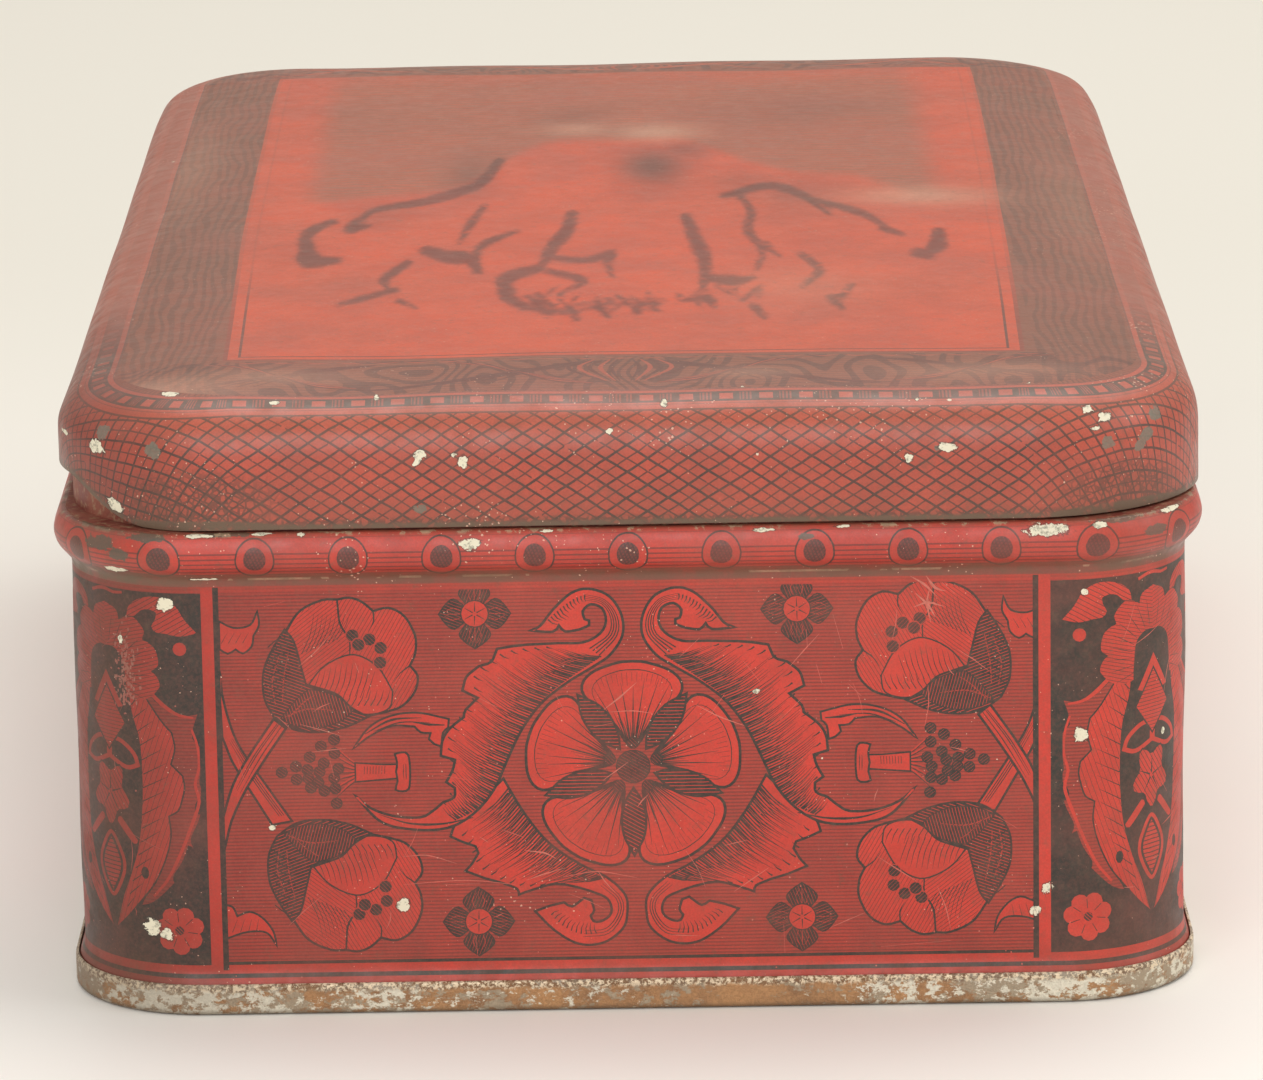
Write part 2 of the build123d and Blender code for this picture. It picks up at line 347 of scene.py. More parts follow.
def half_motif(k=1.0):
    """Left half of the printed wall ornament, x from the panel centre, z up. k = share of the engraved strokes."""
    dens = k
    g = Art()
    g.tag = "side"
    # edge half leaves
    up = closed([(-46.1, 46.0), (-44.5, 45.2), (-42.6, 45.5), (-41.75, 47.1)], [(-41.6, 45.5), (-42.25, 44.25)],
                [(-42.5, 43.0), (-43.5, 42.2), (-44.3, 42.7)], [(-45.2, 42.2), (-46.1, 42.75)], [(-46.1, 46.0)])
    outlined(g, up, RED, w=0.28)
    dn = closed([(-46.3, 12.75), (-45.5, 12.5), (-45.0, 11.4)], [(-43.6, 11.9), (-42.2, 11.2), (-41.0, 9.6), (-40.6, 7.75)],
                [(-41.75, 9.4), (-44, 9.5), (-46.3, 8.75)], [(-46.3, 12.75)])
    outlined(g, dn, RED, w=0.28)
    for k in range(4):
        g.add(stroke([(-45.9 + k * 0.8, 43.4), (-45.2 + k * 0.8, 44.6)], 0.08, 0.1, 0.03), DARK)
        g.add(stroke([(-45.6 + k * 0.9, 9.5), (-45.0 + k * 0.8, 11.0)], 0.08, 0.1, 0.03), DARK)
    # stems, the right hand one under
    sb = closed([(-38.5, 22.5), (-41.75, 27.5), (-44.5, 32), (-45.9, 37), (-46.1, 40)],
                [(-46.25, 37.0), (-46.1, 32.5)], [(-45, 29.5), (-43, 26), (-40.75, 22.1)], [(-38.5, 22.5)])
    outlined(g, sb, RED, w=0.34)
    for k in (0.3, 0.45, 0.6):
        a = np.array([(-38.9, 23.3), (-42, 28), (-44.6, 32.6)])
        b = np.array([(-40.6, 23.0), (-43, 26.6), (-45.8, 31.6)])
        g.add(stroke(a + (b - a) * k, 0.09, 0.12, 0.04), DARK)
    sa = closed([(-40.25, 34.5), (-43, 30.5), (-45, 27), (-46.3, 23)], [(-46.3, 19)],
                [(-45.6, 21.8), (-45, 23.5), (-43.5, 26.5), (-41.25, 30), (-38.9, 33.4)], [(-40.25, 34.5)])
    outlined(g, sa, RED, w=0.36)
    for k in (0.25, 0.4, 0.72):
        a = np.array([(-40.2, 34.0), (-43, 30.3), (-45, 26.6)])
        b = np.array([(-39.0, 33.6), (-41.4, 30), (-44.0, 25.6)])
        g.add(stroke(a + (b - a) * k, 0.09, 0.13, 0.04), DARK)

    # buds: the lower one is the upper one turned over
    def bud(m, lower):
        def T(pts):
            q = np.asarray(pts, float).copy()
            if lower:
                q[:, 1] = 2 * 27.75 - q[:, 1]
            return q

        def C(*parts, **k):
            return T(closed(*parts, **k))
        sgn = -1 if lower else 1
        outer = C([(-38.75, 44.5), (-37, 47), (-34.5, 48.25), (-32.75, 48.3)], [(-31.4, 48.5), (-30, 48), (-28.75, 46.9)],
                  [(-27, 47.25), (-25.25, 46.25), (-24.1, 44), (-24.1, 42), (-24.75, 40.5)],
                  [(-23.9, 39.25), (-24.25, 37.5), (-25.5, 36), (-27, 35.3), (-30.5, 34.5)], [(-34, 36)], [(-38.75, 44.5)])
        outlined(m, outer, hatch(0.13), (math.cos(math.radians(150)), sgn * math.sin(math.radians(150)), 0.40), w=0.34)
        # back petals in front of the outline fill
        pb = C([(-38.3, 44.3), (-37, 46.6), (-34.8, 47.8), (-32.9, 47.9)], [(-32.5, 45.5), (-31.5, 43.5), (-31.5, 41.75)],
               [(-34.0, 40.6), (-36.6, 38.3)], [(-37.6, 41.5), (-38.3, 44.3)])
        m.add(pb, hatch(0.14), (math.cos(math.radians(128)), sgn * math.sin(math.radians(128)), 0.38))
        m.add(T(stroke([(-32.75, 48.2), (-32.5, 45.5), (-31.5, 43.6), (-31.5, 41.75)], 0.22, 0.24, 0.14)), DARK)
        m.add(T(stroke([(-28.75, 46.9), (-28.7, 45.7), (-29.3, 44.6)], 0.2, 0.16, 0.04)), DARK)
        m.add(T(stroke([(-24.75, 40.5), (-25.9, 39.6), (-26.6, 38.6)], 0.2, 0.14, 0.04)), DARK)
        for i in range(9):
            x = -36.9 + i * 0.5
            m.add(T(stroke([(x, 42.0 + i * 0.2), (x + 1.0, 44.2 + i * 0.12), (x + 1.5, 46.6)], 0.1, 0.08, 0.03)), DARK)
        fp = C([(-36.5, 38), (-34.75, 40.25), (-32.5, 41.6), (-30.5, 41.75), (-28.25, 40.25), (-26.75, 37.5)],
               [(-27.2, 35.6), (-29.5, 34.9), (-33, 35.5)], [(-36.5, 38)])
        outlined(m, fp, RED, w=0.22)
        for i in range(11):
            x = -35.4 + i * 0.62
            m.add(T(stroke([(x - 0.6, 37.4 - i * 0.06), (x + 0.1, 38.7), (x + 0.5, 39.9 + 0.9 * math.sin(i / 10 * PI))], 0.06, 0.1, 0.03)), DARK)
        for i in range(9):
            x = -33.6 + i * 0.72
            m.add(T(stroke([(x, 35.9), (x + 0.5, 36.7), (x + 0.8, 37.7)], 0.12, 0.1, 0.03)), DARK)
        # calyx: two dark hatched leaves with a bright vein
        cal = C([(-40.25, 34.75), (-41.25, 37), (-41.25, 40), (-40.25, 42.5), (-38.75, 44.9)],
                [(-37.75, 43.5), (-37, 40.5), (-36.5, 38.5)], [(-35, 38.0), (-33, 37.25), (-31.5, 35.75), (-29.6, 34.6)],
                [(-32, 33.5), (-35, 32.9), (-38, 33.25), (-40.25, 34.75)])
        outlined(m, cal, hatch(0.80), (math.cos(math.radians(70)), sgn * math.sin(math.radians(70)), 0.36), w=0.3)
        lo = C([(-39.4, 34.6), (-37.6, 36.8), (-36.2, 37.9)], [(-34.6, 37.6), (-32.8, 36.9), (-31.2, 35.4)],
               [(-32.6, 34.2), (-35.2, 33.4), (-38, 33.7), (-39.4, 34.6)])
        outlined(m, lo, hatch(0.82), (math.cos(math.radians(15)), sgn * math.sin(math.radians(15)), 0.34), w=0.16)
        for pts in ([(-39.0, 34.7), (-36.5, 35.6), (-33.4, 35.4)], [(-38.6, 34.6), (-36.8, 36.4), (-35.6, 37.2)],
                    [(-40.0, 36.2), (-40.3, 38.8), (-39.4, 42.0)], [(-39.2, 36.4), (-39.0, 39.2), (-38.4, 42.2)]):
            m.add(T(stroke(pts, 0.1, 0.16, 0.06)), (0, 0, -0.35, 0.2), (0.7, 0.7, 0.4))
        for i in range(8):
            z = 36.4 + i * 0.92
            m.add(T(stroke([(-40.7, z), (-39.6, z + 0.9), (-38.2, z + 1.2)], 0.13, 0.15, 0.05)), DARK)
        for x, z in ((-31.15, 44.1), (-29.25, 43.6), (-28.0, 42.6), (-28.1, 40.9), (-30.5, 43.0)):
            q = T(disc(x, z, 0.72, 9))
            m.add(offset(q, 0.12), (0, 0, -0.2, 0))
            m.add(q, hatch(0.92), (0.7, 0.7, 0.34))

    g.tag = "bud"
    bud(g, False)
    bud(g, True)
    g.tag = "tendril"

    # tendril leaf that reaches over the stamen from the upper acanthus
    ten = closed([(-31.4, 30.9), (-29.5, 33.4), (-27, 34.7), (-24, 35.0), (-20.5, 34.2)],
                 [(-20.6, 33.2)], [(-21.2, 32.6), (-21.4, 31.0)], [(-22.2, 31.3), (-22.8, 31.9)], [(-22.6, 32.6)], [(-23.7, 32.7), (-24.4, 33.4)],
                 [(-27, 33.5), (-29.4, 32.4), (-31.4, 30.9)])
    outlined(g, ten, RED, w=0.3)
    g.add(stroke([(-30.0, 32.6), (-27, 34.2), (-23.6, 34.4)], 0.1, 0.3, 0.05), DARK)
    g.add(stroke([(-29.0, 32.9), (-26, 33.9), (-22.6, 33.8)], 0.06, 0.16, 0.05), DARK)
    g.add(stroke([(-24.6, 33.9), (-22.8, 33.6), (-21.0, 33.5)], 0.06, 0.3, 0.12), DARK)

    # stamen
    g.tag = "stamen"
    st = closed([(-31.2, 27.0), (-28, 27.25), (-26.4, 27.35)], [(-26.4, 29.0)], [(-28, 29.0), (-31.2, 29.25)], [(-31.2, 27.0)])
    for dz in (1.3, 0.85, 0.4, 0, -0.4, -0.85, -1.3):
        g.add(stroke([(-29.6, 28.1 + dz * 0.5), (-31.4, 28.1 + dz * 0.9), (-33.6, 28.1 + dz * 2.4)], 0.08, 0.12, 0.05), DARK)
        g.add(stroke([(-29.6, 28.25 + dz * 0.45), (-31.3, 28.3 + dz * 0.8), (-33.2, 28.3 + dz * 2.1)], 0.12, 0.16, 0.08), RED)
    outlined(g, st, RED, w=0.24)
    for i in range(8):
        x = -30.2 + i * 0.33
        g.add(stroke([(x, 27.9), (x + 0.05, 28.8)], 0.07), DARK)
    cap = closed([(-26.6, 28.1), (-26.45, 29.2), (-26.7, 30.2)], [(-25.9, 30.4), (-25.2, 30.1), (-25.0, 28.1), (-25.2, 26.1), (-25.9, 25.8)], [(-26.7, 26.0), (-26.45, 27.0), (-26.6, 28.1)])
    outlined(g, cap, RED, w=0.3)
    g.add(disc(-25.6, 28.1, 0.22, 8, 1.2), hatch(0.3), (1, 0, 0.3))
    for x, z in ((-39.5, 28.25), (-37.9, 28.9), (-36.6, 28.5), (-35.25, 28.25), (-37.85, 27.4), (-36.5, 27.5), (-35.4, 27.0), (-34.75, 26.0),
                 (-36.25, 26.4), (-34.75, 29.25), (-35.0, 31.25), (-33.5, 32.0), (-33.4, 24.5), (-33.5, 26.25), (-33.6, 27.5), (-33.1, 28.6),
                 (-33.5, 30.4), (-36.3, 30.0)):
        q = disc(x, z, 0.6, 9)
        g.add(offset(q, 0.1), DARK)
        g.add(offset(q, -0.05), hatch(0.90, 0.0), (0.6, 0.8, 0.3))

    # florets
    g.tag = "floret"
    for cx, cz in ((-17.85, 46.4), (-18.1, 10.3)):
        for k in range(4):
            a = k * PI / 2
            c, s = math.cos(a), math.sin(a)
            pet = closed([(1.1, 0.9), (2.3, 1.75), (3.2, 1.2), (4.05, 0.0)], [(3.2, -1.2), (2.3, -1.75), (1.1, -0.9)], [(1.1, 0.9)], step=0.5)
            q = np.stack([cx + pet[:, 0] * c - pet[:, 1] * s, cz + pet[:, 0] * s + pet[:, 1] * c], 1)
            outlined(g, q, hatch(0.90), (math.cos(a + 1.2), math.sin(a + 1.2), 0.34), w=0.2)
            for w in (-0.7, 0, 0.7):
                l = np.array([(1.6, w * 0.6), (2.5, w), (3.4, w * 0.3)])
                g.add(stroke(np.stack([cx + l[:, 0] * c - l[:, 1] * s, cz + l[:, 0] * s + l[:, 1] * c], 1), 0.07, 0.1, 0.04), (0, 0, -0.3, 0.15))
        outlined(g, disc(cx, cz, 1.55, 16), RED, w=0.16)
        for k in range(6):
            a = k * PI / 3 + 0.5
            g.add(stroke([(cx + 0.25 * math.cos(a), cz + 0.25 * math.sin(a)), (cx + 1.3 * math.cos(a), cz + 1.3 * math.sin(a))], 0.16, 0.12, 0.05), DARK)

    # lower acanthus with its curl
    g.tag = "leaf"
    low = closed([(-14.5, 27.1), (-12.2, 23), (-9.5, 19.5), (-6, 16.9), (-3, 15.3), (-0.95, 13.2), (-0.75, 11), (-1.3, 9.2), (-3.5, 7.6), (-6.3, 7.5), (-9, 9.1), (-11.2, 11.4)],
                 [(-9.6, 12.0), (-7.9, 12.4)], [(-7.0, 11.9), (-5.6, 12.9)], [(-4.8, 12.6)], [(-4.5, 11.4), (-4.9, 10.8)],
                 [(-4.6, 10.15), (-3.8, 10.1), (-2.8, 10.7), (-2.5, 11.6), (-3.0, 12.8), (-4.6, 13.6), (-6.8, 14.3), (-9, 14.6), (-11.6, 13.9), (-13.0, 13.4)],
                 [(-13.2, 14.1), (-14.8, 14.8)], [(-16.8, 15.4), (-19.0, 16.3)], [(-18.2, 17.2), (-17.5, 18.4)], [(-17.8, 19.2)], [(-19.4, 19.8), (-20.6, 20.4)],
                 [(-19.9, 22.0), (-17.4, 24.2), (-14.5, 27.1)], step=0.55)
    outlined(g, low, RED, w=0.36)
    sp = [(-14.2, 26.4), (-12.0, 22.6), (-9.3, 19.2), (-5.8, 16.6), (-2.8, 15.0)]
    ed = [(-19.6, 21.4), (-18.0, 18.6), (-16.9, 16.6), (-12.8, 14.6), (-7.2, 14.7)]
    fan(g, sp, ed, int(50 * dens), 0.0, 0.92, 0.15, 0.03, bend=0.06)
    fan(g, sp, ed, int(38 * dens), 0.0, 0.55, 0.17, 0.03, bend=0.06)
    fan(g, ed, sp, int(13 * dens), -0.03, 0.13, 0.20, 0.03, bend=-0.06)
    # rib lines of the lower curl
    for k in (0.28, 0.45, 0.62):
        a = np.array([(-2.9, 15.2), (-0.95, 13.0), (-0.85, 10.8), (-2.6, 8.2), (-6.0, 7.7)])
        b = np.array([(-4.2, 13.8), (-2.6, 12.6), (-2.4, 11.2), (-3.6, 9.9), (-5.4, 9.9)])
        g.add(stroke(a + (b - a) * k, 0.05, 0.14, 0.04), DARK)
    fan(g, [(-9.8, 11.2), (-8.0, 9.4), (-6.0, 8.5), (-3.8, 8.6)], [(-7.6, 12.2), (-6.6, 11.6), (-5.4, 11.4), (-4.6, 10.4)], 11, 0.05, 0.6, 0.16, 0.04, bend=0.1)

    # upper acanthus with its curl
    upp = closed([(-11.2, 44.35), (-10, 44.9), (-8.5, 46.8), (-6.5, 48.6), (-4.5, 49.1), (-2.2, 48.2), (-0.85, 46), (-0.8, 43.6), (-2.2, 41.4), (-4.2, 40.0),
                  (-7, 38.3), (-10, 35.9), (-12.3, 32.8), (-14, 29.3), (-15.6, 25.8), (-18, 23.0), (-21, 21.4), (-25, 21.3), (-28.5, 22.3), (-31.4, 25.5)],
                 [(-29.6, 23.9), (-27, 22.9), (-24, 22.7), (-22.6, 23.4), (-21.4, 24.4)], [(-20.1, 25.0), (-20.0, 26.1)], [(-20.95, 26.8)],
                 [(-20.2, 28.2), (-19.9, 29.4)], [(-21.5, 29.9)], [(-21.3, 31.6), (-20.5, 33.0), (-18.8, 34.4)], [(-18.6, 35.2), (-17.2, 36.6)], [(-18.9, 37.5)],
                 [(-18.4, 39.1), (-17.0, 40.3)], [(-15.6, 40.8), (-14.9, 42.3)], [(-12, 42.7), (-8, 42.85), (-5.2, 42.9), (-3.3, 43.9), (-2.6, 45.3), (-3.0, 46.8), (-4.3, 47.3), (-5.2, 46.5), (-5.0, 45.6)],
                 [(-4.5, 45.4)], [(-4.5, 44.9), (-5.6, 44.4)], [(-7.2, 44.2), (-7.9, 44.9)], [(-8.6, 44.2), (-11.2, 44.35)], step=0.55)
    outlined(g, upp, RED, w=0.38)
    sp = [(-2.6, 41.6), (-6.6, 38.9), (-9.7, 36.4), (-12.0, 33.3), (-13.7, 29.8), (-15.2, 26.4), (-17.6, 23.6), (-20.6, 22.0)]
    ed = [(-8.0, 42.5), (-13.8, 41.8), (-17.2, 39.4), (-17.6, 36.6), (-20.4, 32.2), (-20.2, 28.6), (-20.4, 25.6), (-22.0, 23.4)]
    fan(g, sp, ed, int(88 * dens), 0.0, 0.92, 0.15, 0.03, bend=0.06)
    fan(g, sp, ed, int(66 * dens), 0.0, 0.55, 0.17, 0.03, bend=0.06)
    fan(g, ed, sp, int(20 * dens), -0.03, 0.13, 0.20, 0.03, bend=-0.06)
    g.add(stroke([(-18.0, 22.6), (-21.5, 21.9), (-25.2, 22.0), (-28.6, 23.1)], 0.1, 0.3, 0.05), DARK)
    for k in (0.2, 0.36, 0.52, 0.68):
        a = np.array([(-3.0, 41.0), (-1.0, 43.6), (-1.05, 46.0), (-2.6, 48.0), (-5.0, 48.7)])
        b = np.array([(-5.2, 42.7), (-3.0, 43.8), (-2.5, 45.4), (-3.2, 47.0), (-5.0, 47.4)])
        g.add(stroke(a + (b - a) * k, 0.16, 0.13, 0.04), DARK)
    fan(g, [(-9.6, 45.5), (-8.0, 47.0), (-6.2, 48.2), (-4.6, 48.6)], [(-7.8, 44.7), (-6.8, 45.0), (-5.6, 46.2), (-4.6, 47.4)], 12, 0.12, 0.72, 0.2, 0.04, bend=-0.12)
    return g


def rosette(dens=1.0):
    g = Art()
    cz = 28.3
    rim = [(2.6, 12), (5, 21), (7.5, 28), (9.3, 32.5), (10.6, 32.2), (11.5, 28), (12.0, 20), (12.25, 8)]

    def polar(r, deg, base):
        a = math.radians(base + deg)
        return (r * math.cos(a), cz + r * math.sin(a))
    for base in (90, 18, -54, -126, 162):
        left = [polar(r, d, base) for r, d in rim]
        right = [polar(r, -d, base) for r, d in rim][::-1]
        q = catmull(left + [polar(12.3, 0, base)] + right + [polar(2.4, 0, base)], 0.8, closed=True)
        outlined(g, q, RED, w=0.4)
        inner = catmull([polar(r - 0.95, d * 0.86, base) for r, d in rim[2:]] + [polar(11.3, 0, base)] + [polar(r - 0.95, -d * 0.86, base) for r, d in rim[2:]][::-1], 0.8)
        g.add(stroke(inner, 0.05, 0.12, 0.05), DARK)
        for d in (-25, -17, -8.5, 0, 8.5, 17, 25):
            e = rng.uniform(-1.5, 1.5)
            g.add(stroke([polar(3.2, d * 0.72, base), polar(6.6, d * 0.9 + e, base), polar(10.2 + rng.uniform(-0.8, 0.6), d + e, base)], 0.2, 0.13, 0.03, step=1.9), DARK)
        n1, n2 = int(17 * dens), int(15 * dens)
        for i in range(n1):
            d = -25 + i * 50 / (n1 - 1)
            g.add(stroke([polar(3.0, d * 0.72, base), polar(4.4, d * 0.86, base), polar(6.2 + rng.uniform(-0.8, 1.2), d, base)], 0.13, 0.1, 0.02, step=1.6), DARK)
        for i in range(n2):
            d = -24 + i * 48 / (n2 - 1)
            g.add(stroke([polar(11.0, d * 0.9, base), polar(9.7 + rng.uniform(-0.4, 0.6), d * 0.9, base)], 0.05, 0.08, 0.03), DARK)
    for base in (126, 54, -18, -90, 198):
        pts = [(2.5, 0), (4.0, 0.9), (6.0, 1.38), (8.0, 1.2), (9.4, 0.6), (10.5, 0)]
        a = math.radians(base)
        c, s = math.cos(a), math.sin(a)
        top = [(r * c - w * s, cz + r * s + w * c) for r, w in pts]
        bot = [(r * c + w * s, cz + r * s - w * c) for r, w in pts[1:-1]][::-1]
        q = closed(top, bot + [top[0]], step=0.8)
        outlined(g, q, hatch(0.80), (math.cos(math.radians(90 if abs(c) > 0.4 else 60)), math.sin(math.radians(90 if abs(c) > 0.4 else 60)), 0.4), w=0.32)
    outlined(g, disc(0, cz, 1.9, 18), hatch(0.92), (0.5, 0.86, 0.34), w=0.2)
    for k in range(7):
        a = k * PI / 3.5
        g.add(stroke([(0.4 * math.cos(a), cz + 0.4 * math.sin(a)), (1.5 * math.cos(a), cz + 1.5 * math.sin(a))], 0.2, 0.16, 0.05), DARK)
    for base in (90, 18, -54, -126, 162):
        x, z = polar(2.75, 0, base)
        outlined(g, disc(x, z, 0.66, 10), hatch(0.92), (0.7, 0.7, 0.3), w=0.14)
    return g


HALF = half_motif()
HALF_SIDE = half_motif(0.5)
ROSE = rosette()
ROSE_SIDE = rosette(0.5)


def panel_art(w, half=None, rose=None):
    """A whole wall panel of half width w: stripes, lines, ornament. Drawn for a 48.7 mm half width."""
    g = Art()
    k = 1.0
    g.add([(-w, 0.5), (w, 0.5), (w, 50.1), (-w, 50.1)], GROUND)
    half, rose = half or HALF, rose or ROSE
    left = half.moved({"floret": (0.5, 0.0)})
    right = half.mirrored().moved({"bud": (1.5, 1.0), "side": (0.3, 0.4), "tendril": (0.9, 0.2), "stamen": (0.3, 0.3), "floret": (1.0, 0.0), "leaf": (0.7, 0.0)})
    for it in left.items + right.items + rose.moved({"": (0.2, 0.0)}).items:
        g.items.append(it)
        g.tags.append("")
    # bottom lines: black, red, black, then the red-brown foot
    X = 46.1 * k
    g.add([(-w, 0.6), (w, 0.6), (w, 6.0), (-w, 6.0)], DARK)
    g.add([(-w, 0.62), (w, 0.62), (w, 4.15), (-w, 4.15)], (0, 0, -0.12, 0))
    g.add([(-w, 4.62), (w, 4.62), (w, 5.62), (-w, 5.62)], (0, 0, 0.0, 0))
    # top red line
    g.add([(-w, 49.25), (w, 49.25), (w, 50.1), (-w, 50.1)], (0, 0.4, -0.05, 0))
    # side stripes with black inner lines
    for s in (-1, 1):
        X = 46.1 - (0.75 if s > 0 else 0.0)
        a, b = s * (X - 0.0), s * (X + 0.65)
        g.add([(min(a, b), 5.0), (max(a, b), 5.0), (max(a, b), 49.9), (min(a, b), 49.9)], DARK)
        a, b = s * (X + 0.65), s * (X + 2.0)
        g.add([(min(a, b), 5.0), (max(a, b), 5.0), (max(a, b), 49.9), (min(a, b), 49.9)], RED)
        a, b = s * (X + 2.0), s * w
        g.add([(min(a, b), 5.75), (max(a, b), 5.75), (max(a, b), 49.2), (min(a, b), 49.2)], DARK)
    return g


PALE = 0.5


def scratches(g, n, seed, x0, x1, z0, z1):
    r = random.Random(seed)
    for _ in range(n):
        x, z = r.uniform(x0 + 3, x1 - 3), r.uniform(z0 + 3, z1 - 4)
        a, l = r.uniform(-1.3, 1.7), r.uniform(0.8, 5.5)
        m = r.uniform(-0.25, 0.25)
        g.add(stroke([(x, z), (x + l / 2 * math.cos(a) + m, z + l / 2 * math.sin(a)), (x + l * math.cos(a), z + l * math.sin(a))], 0.03, r.uniform(0.05, 0.15), 0.03), (0, 0, r.uniform(0.25, 0.6), 0))


def front_marks(g):
    """Scratches and scuffs of the front."""
    for pts, w, k in (([(-3.0, 35.0), (-1.2, 36.4), (0.7, 38.1)], 0.22, 0.55), ([(-2.3, 34.7), (0.2, 34.8), (2.4, 34.5)], 0.14, 0.45), ([(7.4, 35.4), (10.0, 34.0), (12.8, 32.9)], 0.16, 0.5),
                      ([(16.8, 33.5), (19.4, 36.1)], 0.16, 0.5), ([(5.6, 41.0), (7.9, 43.2)], 0.18, 0.5), ([(22.9, 45.7), (24.0, 41.7)], 0.13, 0.5), ([(21.0, 39.9), (21.6, 37.7)], 0.12, 0.45),
                      ([(19.9, 44.0), (20.0, 42.0)], 0.14, 0.45), ([(-26, 18.1), (-23.2, 18.2), (-20.0, 17.2)], 0.14, 0.4), ([(-26, 14.8), (-19, 15.2), (-13.4, 14.6)], 0.12, 0.35),
                      ([(-12.2, 18.6), (-10.0, 18.3), (-8.7, 17.6)], 0.22, 0.55), ([(-30.9, 40.9), (-30.5, 39.7)], 0.16, 0.7), ([(-34.0, 29.6), (-33.6, 27.5)], 0.14, 0.4), ([(-8.4, 36.8), (-7.6, 35.2)], 0.13, 0.4),
                      ([(31.6, 50.0), (33.2, 49.0), (34.6, 47.6)], 0.3, 0.5), ([(33.4, 50.0), (34.4, 48.6), (35.6, 48.2)], 0.4, 0.5), ([(35.2, 49.2), (36.6, 47.9)], 0.3, 0.5), ([(32.2, 48.0), (33.6, 46.6), (34.4, 45.2)], 0.34, 0.6), ([(32.0, 46.4), (33.6, 46.9), (35.4, 46.4)], 0.3, 0.55),
                      ([(33.8, 48.6), (33.5, 46.8), (33.9, 44.6)], 0.3, 0.5), ([(9.0, 34.2), (10.6, 36.6)], 0.2, 0.45), ([(-4.2, 33.0), (-2.0, 33.4)], 0.2, 0.4), ([(-8.0, 15.4), (-4.0, 16.0), (0.4, 15.2)], 0.14, 0.35),
                      ([(12.8, 40.4), (14.6, 38.0)], 0.16, 0.4), ([(24.6, 37.6), (26.0, 36.2)], 0.14, 0.4), ([(-44.6, 30.4), (-43.8, 27.6)], 0.14, 0.4), ([(17.0, 9.4), (17.1, 6.0)], 0.25, 0.3),
                      ([(-18.0, 8.6), (-17.8, 6.2)], 0.4, 0.3), ([(41.0, 22.0), (43.5, 20.4)], 0.12, 0.35), ([(28.0, 6.6), (36.0, 7.2)], 0.1, 0.3), ([(-41, 47.6), (-38.6, 48.2)], 0.1, 0.3)):
        g.add(stroke(pts, 0.04, w, 0.04), (0, 0, k, 0))
    scratches(g, 34, 3, -44, 44, 5, 48)
    r = random.Random(17)
    for _ in range(150):
        x, z = r.uniform(-46, 46), 4 + 46 * r.random() ** 1.0
        g.add(disc(x, z, r.uniform(0.05, 0.12), 5), (0, 0, r.uniform(0.3, 0.7), 0))


